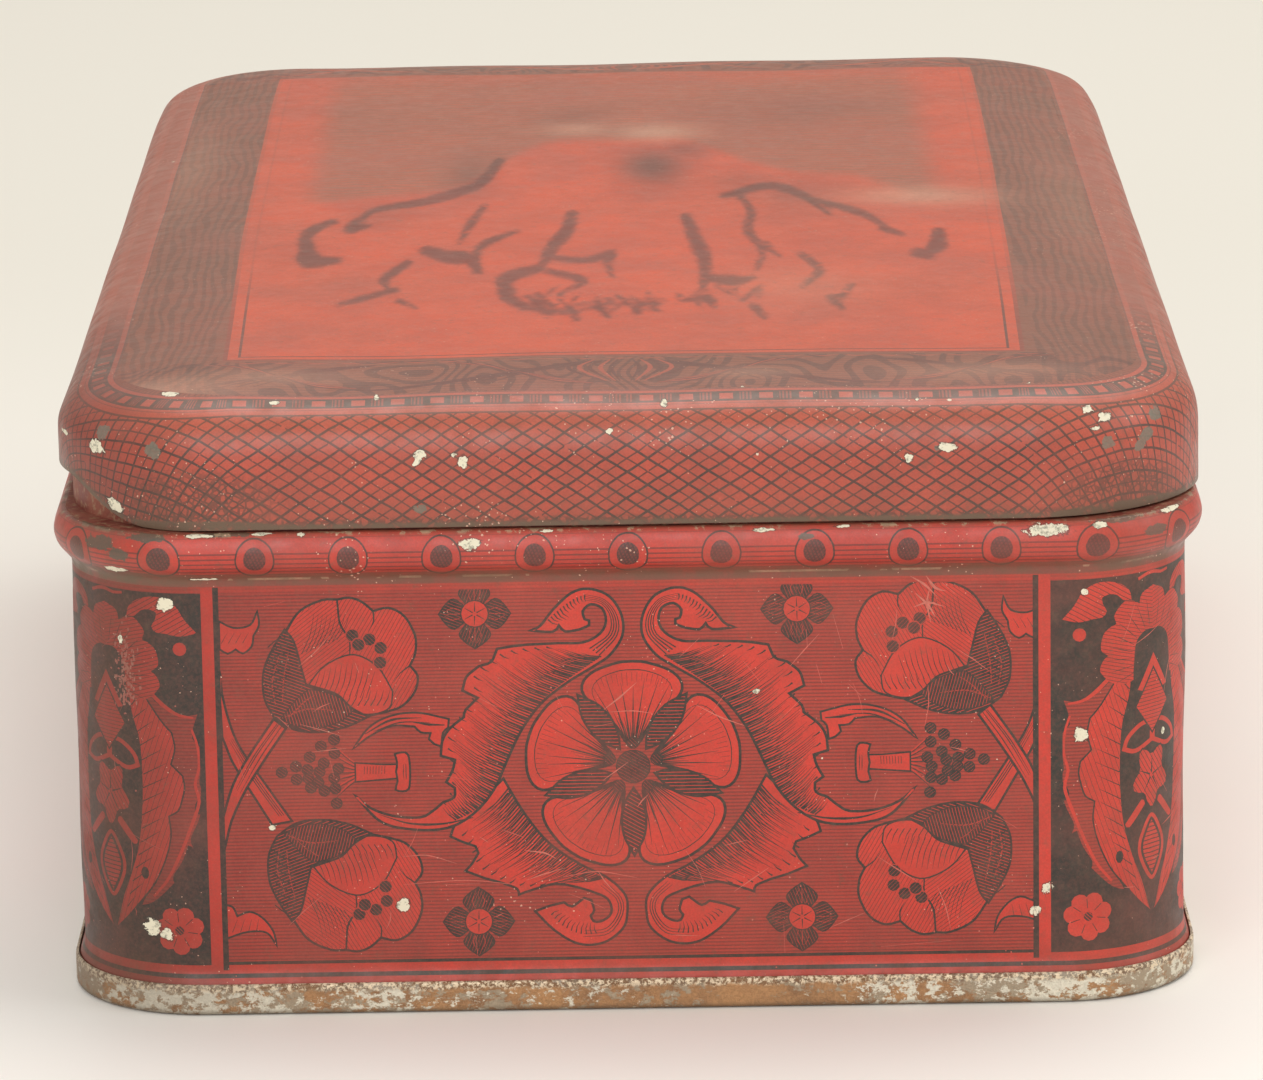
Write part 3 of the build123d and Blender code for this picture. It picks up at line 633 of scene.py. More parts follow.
def corner_art():
    """Corner panel, x from its centre line (s - 60.325) and z up."""
    h = Q0 / 2
    g = Art()
    g.add([(-h, 0.5), (h, 0.5), (h, 50.1), (-h, 50.1)], DARK)
    g.add([(-h, 0.62), (h, 0.62), (h, 4.15), (-h, 4.15)], (0, 0, -0.25, 0))
    g.add([(-h, 4.62), (h, 4.62), (h, 5.62), (-h, 5.62)], RED)
    g.add([(-h, 49.25), (h, 49.25), (h, 50.1), (-h, 50.1)], (0, 0.4, -0.05, 0))
    c = Art()

    def P(pts):
        return [(x - 60.4, z) for x, z in pts]

    def K(*parts, **k):
        return closed(*[P(p) for p in parts], **k)
    # outer ruled serrated leaf
    outer = K([(48.9, 35.2), (50.8, 35.1), (53.75, 36.6), (55.8, 39.5), (57.7, 41.2)], [(57.4, 38), (56.9, 35.3)], [(54, 25), (54.6, 16), (56.2, 12.4)], [(55, 12.8), (53.75, 13.7), (52.1, 15.4)],
              [(52.2, 16.2), (51.1, 18.0), (50.4, 19.9)], [(49.8, 19.6)], [(50.1, 20.6), (49.2, 22.6), (48.9, 23.5)], [(49.5, 23.6)], [(49.4, 24.8), (48.4, 26.2)],
              [(48.9, 27.0), (48.8, 28.3)], [(48.1, 28.0)], [(48.4, 29.6), (48.5, 31.2)], [(49.0, 31.6), (49.6, 32.4)], [(49.4, 33.8), (48.9, 35.2)])
    c.add(outer, (0, 1, -0.12, 0))
    c.add(stroke(P([(49.4, 34.8), (51.5, 35.3), (54.0, 37.3), (56.0, 40.0)]), 0.2, 0.5, 0.4), RED)
    c.add(stroke(P([(49.6, 33.4), (49.0, 31.4), (48.9, 29.0), (49.4, 27.0), (49.0, 25.0), (50.0, 22.0), (51.2, 19.0), (52.8, 15.8), (54.6, 13.6)]), 0.25, 0.4, 0.3), RED)
    # main inner leaf
    main = K([(57.5, 41.0), (57.2, 38.2), (56.9, 35.3), (56.0, 32.0), (55.75, 28.7), (55.8, 24.5), (56.25, 20.3), (57.3, 16.6), (58.75, 13.25), (60.2, 9.1)],
             [(58.6, 10.4), (56.7, 12.4), (54.6, 14.9), (53.3, 17.4), (52.6, 19.4)], [(52.3, 21.2), (52.5, 23.2)], [(51.4, 23.9), (51.0, 24.9)], [(50.6, 26.6), (50.8, 28.0)], [(52.1, 29.3)],
             [(51.6, 31.2), (51.9, 33.0)], [(53.0, 34.2), (53.75, 35.3)], [(55.2, 37.4), (57.5, 41.0)])
    outlined(c, main, hatch(0.08), ang(20, 0.6), w=0.24)
    for i in range(16):
        z = 12.5 + i * 1.6
        x0 = np.interp(z, [9, 16.6, 20.3, 28.7, 35.3, 41], [59.4, 57.2, 56.1, 55.6, 56.8, 57.4])
        x1 = np.interp(z, [9, 14.9, 21.2, 27.8, 35.3, 41], [58.9, 54.8, 52.5, 51.4, 54.2, 57.2])
        c.add(stroke(P([(x0 - 0.1, z - 0.6), ((x0 + x1) / 2, z + 0.4), (x0 + (x1 - x0) * 0.75, z + 0.9)]), 0.13, 0.09, 0.03), DARK)
    c.add(disc(55.6 - 60.4, 16.3, 0.5, 9, 0.75), (1, 0, 0, 0))
    # curl at the top with its ball
    curl = K([(48.6, 44.6), (50, 46.2), (51, 47.8), (52.5, 48.7), (54.2, 48.8), (55.8, 48.3), (56.9, 47.4), (57.2, 46.2)], [(56.0, 46.3), (55.2, 47.0), (54.2, 47.2), (53.4, 46.9)],
             [(53.5, 46.2), (54.0, 45.3), (53.4, 44.6), (52.4, 44.5)], [(50.6, 44.2), (48.6, 44.6)])
    outlined(c, curl, hatch(0.14), ang(60, 0.5), w=0.16)
    c.add(disc(50.7 - 60.4, 42.8, 0.78, 12), RED)
    # centre: crossing bands, mandorla, palmette arch
    band = K([(56.3, 20.0), (57.0, 19.5), (59.4, 21.9)], [(58.8, 22.6), (56.3, 20.0)])
    outlined(c, band, RED, w=0.16)
    arch = K([(57.3, 36.9), (55.6, 36.6), (54.2, 37.2)], [(53.2, 38.4), (53.6, 39.6), (54.3, 40.1)], [(53.3, 40.9), (53.6, 42.6), (54.5, 43.4)], [(55.2, 43.7), (54.9, 44.6), (55.3, 45.3)],
             [(56.2, 46.1), (57.4, 46.0), (58.3, 45.5)], [(58.7, 46.7), (60.4, 47.4)], [(60.4, 42.5)], [(59.2, 42.5), (58.0, 41.7), (57.5, 40.6)], [(57.3, 38.8), (57.3, 36.9)])
    c.add(offset(arch, 0.08), hatch(0.14, -0.05), ang(75, 0.42))
    for i in range(9):
        a = math.radians(100 + i * 14)
        c.add(stroke([(0 + 3.2 * math.cos(a), 39.6 + 3.4 * math.sin(a)), (4.6 * math.cos(a), 39.8 + 4.6 * math.sin(a)), (6.2 * math.cos(a), 40 + 6.0 * math.sin(a))], 0.05, 0.10, 0.03), DARK)
    # lens with a dark heart
    lens = K([(60.4, 31.9), (58.4, 31.6), (56.6, 30.3), (56.0, 28.8)], [(57.8, 28.3), (60.4, 29.3)], [(60.4, 31.9)])
    c.add(offset(lens, 0.1), RED)
    c.add(offset(lens, -0.42), DARK)
    for it in c.items:
        g.items.append(it)
        g.tags.append("")
    for it in c.mirrored().items:
        g.items.append(it)
        g.tags.append("")
    # pieces on the centre line
    chev = closed([(0, 39.6)], [(-2.4, 35.6)], [(-1.5, 35.3)], [(0, 37.6)], [(1.5, 35.3)], [(2.4, 35.6)], [(0, 39.6)])
    g.add(chev, RED)
    dia = closed([(0, 37.9)], [(-2.7, 33.6)], [(0, 30.2)], [(2.7, 33.6)], [(0, 37.9)])
    outlined(g, dia, hatch(0.16), ang(90, 0.42), w=0.26)
    g.add(stroke([(-2.3, 48.5), (-0.9, 48.95), (0.2, 49.0), (1.4, 48.75), (2.7, 48.9)], 0.35, 0.4, 0.3), RED)
    fl = []
    for i in range(30):
        a = i / 30 * 2 * PI
        r = 2.6 + 0.55 * math.cos(5 * a + PI / 2)
        fl.append((r * math.cos(a), 25.2 + 1.25 * r * math.sin(a)))
    outlined(g, np.array(fl), hatch(0.16), ang(35, 0.5), w=0.26)
    for k in range(5):
        a = k * 2 * PI / 5 + 0.3
        g.add(stroke([(0.3 * math.cos(a), 25.2 + 0.3 * math.sin(a)), (2.0 * math.cos(a), 25.2 + 2.3 * math.sin(a))], 0.24, 0.16, 0.05), DARK)
    man = catmull([(0, 20.6), (-1.7, 18.4), (-2.1, 16.4), (-1.2, 14.2), (0, 12.9), (1.2, 14.2), (2.1, 16.4), (1.7, 18.4)], 0.5, closed=True)
    g.add(offset(man, 0.1), RED)
    g.add(offset(man, -0.35), DARK)
    g.add(offset(man, -0.7), hatch(0.25), ang(90, 0.5))
    # seven petal flowers at the foot
    for sx in (-1, 1):
        fx, fz = sx * -8.7, 9.7
        for k in range(7):
            a = k * 2 * PI / 7 + 0.3
            g.add(offset(disc(fx + 1.85 * math.cos(a), fz + 1.85 * math.sin(a), 1.05, 11), 0.0), (0, 0, 0.03, 0))
        g.add(disc(fx, fz, 1.7, 12), RED)
        for k in range(7):
            a = k * 2 * PI / 7 + 0.3 + PI / 7
            g.add(stroke([(fx + 1.0 * math.cos(a), fz + 1.0 * math.sin(a)), (fx + 2.1 * math.cos(a), fz + 2.1 * math.sin(a))], 0.08, 0.1, 0.1), DARK)
        g.add(disc(fx, fz, 0.55, 9), hatch(0.75), ang(45, 0.3))
    return g


def rect_border(x0, x1, z0, z1, step):
    nx = max(1, int(round((x1 - x0) / step)))
    nz = max(1, int(round((z1 - z0) / step)))
    xs, zs = np.linspace(x0, x1, nx + 1), np.linspace(z0, z1, nz + 1)
    return np.array([(x, z0) for x in xs[:-1]] + [(x1, z) for z in zs[:-1]] + [(x, z1) for x in xs[::-1][:-1]] + [(x0, z) for z in zs[::-1][:-1]])


def clip_poly(p, x0, x1, z0, z1):
    """Sutherland-Hodgman against the tile."""
    for axis, lim, sign in ((0, x0, 1), (0, x1, -1), (1, z0, 1), (1, z1, -1)):
        out = []
        n = len(p)
        for i in range(n):
            a, b = p[i], p[(i + 1) % n]
            da, db = sign * (a[axis] - lim), sign * (b[axis] - lim)
            if da >= 0:
                out.append(a)
            if (da >= 0) != (db >= 0):
                out.append(a + (b - a) * (da / (da - db)))
        p = np.array(out)
        if len(p) < 3:
            return None
    return p


def paint(pts, tri, polys):
    """Index of the topmost polygon over each triangle, -1 where there is none."""
    c = pts[tri].mean(1)
    idx = np.full(len(c), -1)
    for i, q in polys:
        lo, hi = q.min(0), q.max(0)
        m = np.nonzero((c[:, 0] >= lo[0]) & (c[:, 0] <= hi[0]) & (c[:, 1] >= lo[1]) & (c[:, 1] <= hi[1]))[0]
        if not len(m):
            continue
        x, y = c[m, 0][:, None], c[m, 1][:, None]
        x1, y1 = q[:, 0][None], q[:, 1][None]
        x2, y2 = np.roll(q[:, 0], -1)[None], np.roll(q[:, 1], -1)[None]
        side = (x2 - x1) * (y - y1) - (x - x1) * (y2 - y1)
        wn = ((y1 <= y) & (y2 > y) & (side > 0)).sum(1) - ((y1 > y) & (y2 <= y) & (side < 0)).sum(1)
        idx[m[wn != 0]] = i
    return idx


def subdivide(q, step):
    d = np.linalg.norm(np.roll(q, -1, 0) - q, axis=1)
    if d.max() <= step:
        return q
    out = []
    for i in range(len(q)):
        k = max(1, int(math.ceil(d[i] / step)))
        a, b = q[i], q[(i + 1) % len(q)]
        out += [a + (b - a) * j / k for j in range(k)]
    return np.array(out)


def thin_out(q, tol):
    """Douglas-Peucker on a closed polygon."""
    n = len(q)
    if n < 8:
        return q
    far = int(np.argmax(np.linalg.norm(q - q[0], axis=1)))
    ring_ = np.vstack([q, q[:1]])
    keep = np.zeros(n + 1, bool)
    keep[[0, far, n]] = True
    stack = [(0, far), (far, n)]
    while stack:
        a, b = stack.pop()
        if b - a < 2:
            continue
        d = ring_[b] - ring_[a]
        w = ring_[a + 1:b] - ring_[a]
        ln = float(np.hypot(*d))
        e = np.abs(d[0] * w[:, 1] - d[1] * w[:, 0]) / ln if ln > 1e-9 else np.hypot(w[:, 0], w[:, 1])
        i = int(np.argmax(e))
        if e[i] > tol:
            m = a + 1 + i
            keep[m] = True
            stack += [(a, m), (m, b)]
    out = q[keep[:-1]]
    return out if len(out) >= 3 else q


def cdt(art, boundary, steiner, clip=None, inside=None, longest=3.0, tol=0.02):
    verts = [tuple(p) for p in boundary]
    n = len(boundary)
    edges = [(i, (i + 1) % n) for i in range(n)]
    polys = []
    for i, (poly, ink, hat) in enumerate(art.items):
        q = poly
        if clip is not None and (q[:, 0].min() < clip[0] or q[:, 0].max() > clip[1] or q[:, 1].min() < clip[2] or q[:, 1].max() > clip[3]):
            q = clip_poly(q, *clip)
            if q is None:
                continue
        if inside is not None and not inside(q):
            continue
        keep = np.linalg.norm(q - np.roll(q, 1, 0), axis=1) > 2e-3
        q = q[keep]
        if len(q) < 3 or abs(area(q)) < 1e-3:
            continue
        q = subdivide(thin_out(q, tol), longest)
        base = len(verts)
        verts += [tuple(v) for v in q]
        edges += [(base + k, base + (k + 1) % len(q)) for k in range(len(q))]
        polys.append((i, q))
    verts += [tuple(v) for v in steiner]
    v, e, f, ov, oe, of = delaunay_2d_cdt([Vector(p) for p in verts], edges, [], 0, 1e-5, False)
    pts = np.array([(p.x, p.y) for p in v])
    tri = np.array([t for t in f], int)
    a = pts[tri]
    ar = (a[:, 1, 0] - a[:, 0, 0]) * (a[:, 2, 1] - a[:, 0, 1]) - (a[:, 2, 0] - a[:, 0, 0]) * (a[:, 1, 1] - a[:, 0, 1])
    tri[ar < 0] = tri[ar < 0][:, ::-1]
    tri = tri[np.abs(ar) > 1e-7]
    return pts, tri, paint(pts, tri, polys)


def triangulate(art, boundary, grid, extra=(), longest=3.0, tol=0.02):
    """CDT of the painted shapes on a rectangle. Returns points, triangles and the item index of every triangle."""
    x0, z0 = np.min(boundary, 0)
    x1, z1 = np.max(boundary, 0)
    r = random.Random(5)
    nx, nz = int((x1 - x0) / grid), int((z1 - z0) / grid)
    st = []
    for i in range(1, nx):
        for j in range(1, nz):
            st.append((x0 + (x1 - x0) * (i + r.uniform(-0.2, 0.2) + 0.5 * (j % 2) - 0.25) / nx, z0 + (z1 - z0) * (j + r.uniform(-0.2, 0.2)) / nz))
    st += [p for p in extra if x0 + 0.1 < p[0] < x1 - 0.1 and z0 + 0.1 < p[1] < z1 - 0.1]
    return cdt(art, boundary, st, clip=(x0, x1, z0, z1), longest=longest, tol=tol)


def blob_field(px, py, blobs):
    """1 at the middle of a blob and 0 at its edge."""
    v = np.full(np.shape(px), -1.0)
    for x, y, rx, ry in blobs:
        v = np.maximum(v, 1 - np.hypot((px - x) / rx, (py - y) / ry))
    return v


class Builder:
    """Collects vertices, faces and attributes of one mesh."""

    def __init__(self):
        self.v, self.n, self.f, self.mat = [], [], [], []
        self.st, self.fl, self.chip, self.grime_shade_sky = [], [], [], []
        self.ink, self.hat = [], []
        self.count = 0

    def add(self, pts, nrm, faces, mat=0, st=None, fl=None, chip=None, grime_shade_sky=None, ink=None, hat=None):
        n = len(pts)
        self.v.append(np.asarray(pts, float))
        self.n.append(np.asarray(nrm, float))
        self.st.append(np.zeros((n, 3)) if st is None else st)
        self.fl.append(np.zeros((n, 3)) if fl is None else fl)
        self.chip.append(np.full(n, -1.0) if chip is None else chip)
        self.grime_shade_sky.append(np.zeros(n) if grime_shade_sky is None else grime_shade_sky)
        faces = np.asarray(faces, int)
        m = len(faces)
        self.f.append(faces + self.count)
        self.mat.append(np.full(m, mat))
        self.ink.append(np.zeros((m, 4)) if ink is None else ink)
        self.hat.append(np.tile([1.0, 0, 0.42], (m, 1)) if hat is None else hat)
        self.count += n

    def make(self, name, mats):
        v = np.vstack(self.v) / 1000.0
        quads = [a for a in self.f]
        me = bpy.data.meshes.new(name)
        counts = np.concatenate([np.full(len(a), a.shape[1]) for a in quads])
        loops = np.concatenate([a.ravel() for a in quads])
        starts = np.concatenate([[0], np.cumsum(counts)[:-1]])
        me.vertices.add(len(v))
        me.vertices.foreach_set("co", v.ravel())
        me.loops.add(len(loops))
        me.loops.foreach_set("vertex_index", loops)
        me.polygons.add(len(counts))
        me.polygons.foreach_set("loop_start", starts)
        me.polygons.foreach_set("material_index", np.concatenate(self.mat).astype(np.int32))
        me.polygons.foreach_set("use_smooth", np.ones(len(counts), bool))
        me.update(calc_edges=True)
        me.validate()
        for key, data in (("st", self.st), ("fl", self.fl)):
            a = me.attributes.new(key, "FLOAT_VECTOR", "POINT")
            a.data.foreach_set("vector", np.vstack(data).astype(np.float32).ravel())
        for key, data in (("chip", self.chip), ("grime_shade_sky", self.grime_shade_sky)):
            a = me.attributes.new(key, "FLOAT", "POINT")
            a.data.foreach_set("value", np.concatenate(data).astype(np.float32))
        ink = np.repeat(np.vstack(self.ink), counts, axis=0)
        hat = np.repeat(np.vstack(self.hat), counts, axis=0)
        # the four drawing values are stored as two vectors so that no colour space touches them
        a = me.attributes.new("ink", "FLOAT_VECTOR", "CORNER")
        a.data.foreach_set("vector", ink[:, :3].astype(np.float32).ravel())
        h3 = np.stack([hat[:, 0] / hat[:, 2], hat[:, 1] / hat[:, 2], ink[:, 3]], 1)
        a = me.attributes.new("hat", "FLOAT_VECTOR", "CORNER")
        a.data.foreach_set("vector", h3.astype(np.float32).ravel())
        nn = np.vstack(self.n)
        nn = nn / np.maximum(np.linalg.norm(nn, axis=1, keepdims=True), 1e-9)
        me.normals_split_custom_set_from_vertices([tuple(x) for x in nn])
        for m in mats:
            me.materials.append(m)
        ob = bpy.data.objects.new(name, me)
        bpy.context.scene.collection.objects.link(ob)
        return ob


def grid_faces(nu, nv, closed_u=False, flip=False, skip=None):
    """Quads of a (nv rows x nu columns) grid, index = row * nu + column."""
    out = []
    for j in range(nv - 1):
        for i in range(nu if closed_u else nu - 1):
            if skip is not None and skip(i, j):
                continue
            a, b = j * nu + i, j * nu + (i + 1) % nu
            q = (a, b, b + nu, a + nu)
            out.append(q[::-1] if flip else q)
    return out


# ---------------------------------------------------------------- body skin
def seg_stations(a, b, q, da, dq):
    """Perimeter stations that include every segment end."""
    out = []
    e = [0, a, q, 2 * b, q, 2 * a, q, 2 * b, q, a]
    pos = np.cumsum(e)
    kinds = [0, 1, 0, 1, 0, 1, 0, 1, 0]
    for i, k in enumerate(kinds):
        n = max(1, int(round((pos[i + 1] - pos[i]) / (dq if k else da))))
        out.append(np.linspace(pos[i], pos[i + 1], n + 1)[:-1])
    return np.concatenate(out)


L_BODY = 4 * (A0 + B0 + Q0)
T_WALL0 = 0.0
T_AT = lambda z: np.interp(z, BODY_Z, BODY_T)
T_TOP = float(BODY_T[-1])

BODY_CHIPS_FRONT = [(-52.3, 47.9, 1.3, 1.1), (-57.9, 43.4, 0.5, 0.6), (-26.1, 12.4, 1.0, 1.15), (-40.8, 21.8, 0.45, 0.4), (-55.0, 10.0, 1.5, 1.3), (-53.2, 9.2, 1.2, 1.0),
                    (50.7, 31.2, 1.1, 1.2), (46.9, 13.3, 0.9, 0.9), (45.5, 10.6, 0.8, 0.8), (14.2, 36.9, 0.5, 0.35), (51.2, 47.8, 0.5, 0.5)]


def wall_grime_and_shade(s, z):
    # grime towards the foot; painted shade in the groove under the bead
    g = 0.55 * (1 - smooth01(z, 3.0, 8.5)) + 0.95 * smooth01(z, 49.4, 50.5) * (1 - smooth01(z, 51.0, 52.2))
    cx, cy, th = ring(s, A0, B0, Q0)
    side = np.abs(np.sin(th)) * np.abs(np.cos(th)) * 2
    Lf = np.mod(-np.asarray(s, float), L_BODY)
    # painted shade: darker at the rounded corners, most at the front left corner
    return g + 0.22 * side + 0.35 * smooth01(Lf, 47, 62) * (1 - smooth01(Lf, 72, 90))


def build_body(mats):
    b = Builder()
    step_t = 1.6
    panel = panel_art(A0, HALF_SIDE, ROSE_SIDE)
    front = panel_art(A0)
    front_marks(front)
    scratches(panel, 26, 8, -44, 44, 5, 48)
    corner = corner_art()
    scratches(corner, 8, 4, -11, 11, 6, 48)
    scuffed = corner_art()
    scratches(scuffed, 10, 5, -11, 11, 6, 48)
    rs = random.Random(31)
    for _ in range(170):
        x, z = 2.9 + rs.gauss(0, 0.75), 39.6 + rs.gauss(0, 2.4)
        scuffed.add(disc(x, z, rs.uniform(0.06, 0.2), 6, rs.uniform(0.06, 0.3)), (0, 0, rs.uniform(0.45, 0.95), 0))
    for _ in range(60):
        x, z = rs.uniform(-10, 10), rs.uniform(6, 48)
        scuffed.add(disc(x, z, rs.uniform(0.05, 0.14), 5), (0, 0, rs.uniform(0.4, 0.8), 0))
    zt, zb = 50.0, 0.55
    tz0, tz1 = 0.0, float(T_AT(zt))

    def tile(art, s_mid, half, width_scale, chips, gridstep, cache=[{}]):
        key = (id(art), len(chips))
        if key not in cache[0]:
            bd = rect_border(-half, half, zb, zt, 1.5 if half > 20 else 0.8)
            extra = []
            for cx, cz, rx, ry in chips:
                for i in range(-4, 5):
                    for j in range(-4, 5):
                        if i * i + j * j <= 17:
                            extra.append((cx + i * rx * 0.34 + 0.01, cz + j * ry * 0.34 + 0.013))
            # fine rows where the foot turns out
            for z in (1.7, 2.9, 3.25, 3.6, 3.95, 4.3, 4.65, 5.0, 5.4):
                for x in np.arange(-half + 1, half - 0.5, 1.7 if half > 20 else 0.8):
                    extra.append((x, z + 0.003))
            cache[0][key] = triangulate(art, bd, gridstep, extra, 3.0 if half > 20 else 0.9, 0.04 if art is panel else 0.02)
        pts, tri, idx = cache[0][key]
        s = s_mid + pts[:, 0] * width_scale
        t = T_AT(pts[:, 1])
        P = body_point(s, t)
        N = normals(body_point, s, t)
        ink = np.array([art.items[i][1] if i >= 0 else GROUND for i in idx], float)
        hat = np.array([art.items[i][2] if i >= 0 else (1, 0, 0.42) for i in idx], float)
        chip = blob_field(pts[:, 0], pts[:, 1], chips) if chips else np.full(len(pts), -1.0)
        st = np.stack([s, pts[:, 1], t], 1)
        Lf = np.mod(-s, L_BODY)
        # painted shade: the wall darkens towards the front left corner and onto the left side
        left_painted_shade = 0.40 * smooth01(Lf, 40, 62) * (1 - smooth01(Lf, 76, 120)) + 0.16 * smooth01(Lf, 8, 44) * (1 - smooth01(Lf, 76, 120))
        b.add(P, N, tri, 0, st=st, fl=np.stack([left_painted_shade, 0 * s, 0 * s], 1), chip=chip, grime_shade_sky=wall_grime_and_shade(s, pts[:, 1]), ink=ink, hat=hat)

    front_chips = [c for c in BODY_CHIPS_FRONT if abs(c[0]) < A0]
    left_chips = [(c[0] + 60.325, c[1], c[2], c[3]) for c in BODY_CHIPS_FRONT if c[0] < -A0]
    right_chips = [(c[0] - 60.325, c[1], c[2], c[3]) for c in BODY_CHIPS_FRONT if c[0] > A0]
    coarse = 2.2
    tile(front, 0.0, A0, 1.0, front_chips, coarse)
    tile(corner, A0 + Q0 / 2, Q0 / 2, 1.0, right_chips + [(2, 30, 0.4, 0.5)], 1.2)
    tile(scuffed, -(A0 + Q0 / 2), Q0 / 2, 1.0, left_chips, 1.2)
    k = B0 / 2 / A0
    side = A0 + Q0
    coarse = 3.2
    for sgn in (1, -1):
        tile(panel, sgn * (side + B0 / 2), A0, k, [], coarse)
        tile(panel, sgn * (side + B0 * 1.5), A0, k, [], coarse)
        tile(corner, sgn * (side + 2 * B0 + Q0 / 2), Q0 / 2, 1.0, [], 1.2)
    tile(panel, L_BODY / 2, A0, 1.0, [], coarse)

    # bead and its top
    ss = np.append(seg_stations(A0, B0, Q0, 1.5, 0.9), L_BODY)
    ts = np.concatenate([np.linspace(tz1, T_TOP, 32)])
    S, Tt = np.meshgrid(ss, ts)
    S, Tt = S.ravel(), Tt.ravel()
    P, N = body_point(S, Tt), normals(body_point, S, np.clip(Tt, 0.1, T_TOP - 0.13))
    Z = np.interp(Tt, BODY_T, BODY_Z)
    tc = float(T_AT(53.45))
    bead_chips = [(-17.6, tc + 1.5, 1.5, 0.95), (-48.0, tc + 2.9, 2.2, 0.45), (-41.0, tc + 3.1, 1.6, 0.4), (-36.2, tc + 2.9, 0.8, 0.5), (-57.5, tc - 1.9, 2.0, 0.6), (-47.5, tc - 3.0, 2.4, 0.25),
                  (47.0, tc + 2.1, 3.2, 1.0), (52.5, tc + 2.4, 1.0, 0.55), (15.2, tc + 2.6, 2.0, 0.35), (32.5, tc + 2.5, 0.6, 0.3), (62.0, tc + 2.9, 2.4, 0.5), (-9.0, tc + 2.9, 1.4, 0.3), (24, tc + 2.9, 1.5, 0.3)]
    bead_grey = [(-59.0, tc + 1.4, 2.2, 1.2), (-56.6, tc + 0.3, 1.7, 1.0), (-53.6, tc + 2.6, 3.0, 0.8), (19.8, tc + 1.7, 1.2, 0.6), (-17.3, tc + 1.5, 1.1, 0.6), (59.0, tc + 1.0, 2.0, 0.8), (-45.0, tc + 3.2, 4.0, 0.7), (55.0, tc + 3.0, 4.0, 0.7)]
    Ss = np.where(S > L_BODY / 2, S - L_BODY, S)
    b.add(P, N, grid_faces(len(ss), len(ts)), 1, st=np.stack([S, Z, Tt - tc], 1), fl=np.stack([0 * S, 0 * S, blob_field(Ss, Tt, bead_grey)], 1),
          chip=blob_field(Ss, Tt, bead_chips), grime_shade_sky=wall_grime_and_shade(S, Z))

    # loft helper for the plain parts
    def loft(rings, mat, flip=False, na=24, nb=40, nq=14, grime_shade_sky=0.0):
        """rings = list of (a, b, R, z, (nu, nz)) with the core half sizes. The normal is in the profile plane."""
        fr = []
        for seg, n in ((0, na), (1, nq), (2, nb), (3, nq), (4, na * 2), (5, nq), (6, nb), (7, nq), (8, na)):
            fr += [(seg, i / n) for i in range(n)]
        allp, alln = [], []
        for a, bb, R, z, nn in rings:
            e = np.concatenate([[0], np.cumsum([a, 1, 2 * bb, 1, 2 * a, 1, 2 * bb, 1, a])])
            s = np.array([e[g] + f * (e[g + 1] - e[g]) for g, f in fr])
            cx, cy, th = ring(s, a, bb, 1.0)
            allp.append(np.stack([cx + R * np.sin(th), cy - R * np.cos(th) + SY, 0 * s + z], 1))
            alln.append(np.stack([nn[0] * np.sin(th), -nn[0] * np.cos(th), 0 * s + nn[1]], 1))
        P, N = np.vstack(allp), np.vstack(alln)
        b.add(P, N, grid_faces(len(fr), len(rings), True, flip), mat, grime_shade_sky=np.full(len(P), grime_shade_sky))
    up = (0, 1)
    # ledge from the bead top in to the neck, top side then underside
    loft([(A0, B0, 14.8 + 0.55, 56.375, up), (LA, LB, 19.6, 56.375, up)], 2, grime_shade_sky=0.6)
    # neck outside, hem roll, neck inside
    loft([(LA, LB, 19.6, 56.375, (1, 0)), (LA, LB, 19.6, 63.75, (1, 0))], 2)
    loft([(LA, LB, 19.6, 63.75, (1, 0)), (LA, LB, 19.5, 63.95, (0.7, 0.7)), (LA, LB, 19.3, 64.0, up), (LA, LB, 19.0, 63.95, (-0.7, 0.7)), (LA, LB, 18.9, 63.75, (-1, 0))], 2)
    loft([(LA, LB, 18.9, 63.75, (-1, 0)), (LA, LB, 18.9, 61.2, (-1, 0))], 3)
    loft([(LA, LB, 18.9, 61.2, (0, -1)), (LA, LB, 19.25, 61.2, (0, -1))], 3)
    loft([(LA, LB, 19.25, 61.2, (-1, 0)), (LA, LB, 19.25, 56.025, (-1, 0))], 3)
    loft([(LA, LB, 19.25, 56.025, (0, -1)), (A0, B0, 14.8 + 0.35, 56.025, (0, -1))], 3)
    # inner wall: the outer skin moved in by the sheet thickness
    ti = np.concatenate([np.linspace(T_TOP - 0.25, tz1, 22), np.linspace(tz1, float(T_AT(5.4)), 18)[1:], np.linspace(float(T_AT(5.4)), 0, 8)[1:]])
    si = seg_stations(A0, B0, Q0, 3.2, 1.4)
    S, Tt = np.meshgrid(si, ti)
    S, Tt = S.ravel(), Tt.ravel()
    N = normals(body_point, S, np.clip(Tt, 0.13, T_TOP - 0.13))
    P = body_point(S, Tt) - 0.35 * N
    b.add(P, -N, grid_faces(len(si), len(ti), True), 3, st=np.stack([S, P[:, 2], Tt], 1))
    # raw edge at the foot
    cx, cy, th = ring(si, A0, B0, Q0)
    o = np.stack([cx + 15.5 * np.sin(th), cy - 15.5 * np.cos(th) + SY, 0 * si + 0.55], 1)
    i_ = np.stack([cx + 15.15 * np.sin(th), cy - 15.15 * np.cos(th) + SY, 0 * si + 0.55], 1)
    b.add(np.vstack([i_, o]), np.tile([0, 0, -1.0], (2 * len(si), 1)), grid_faces(len(si), 2, True), 3)
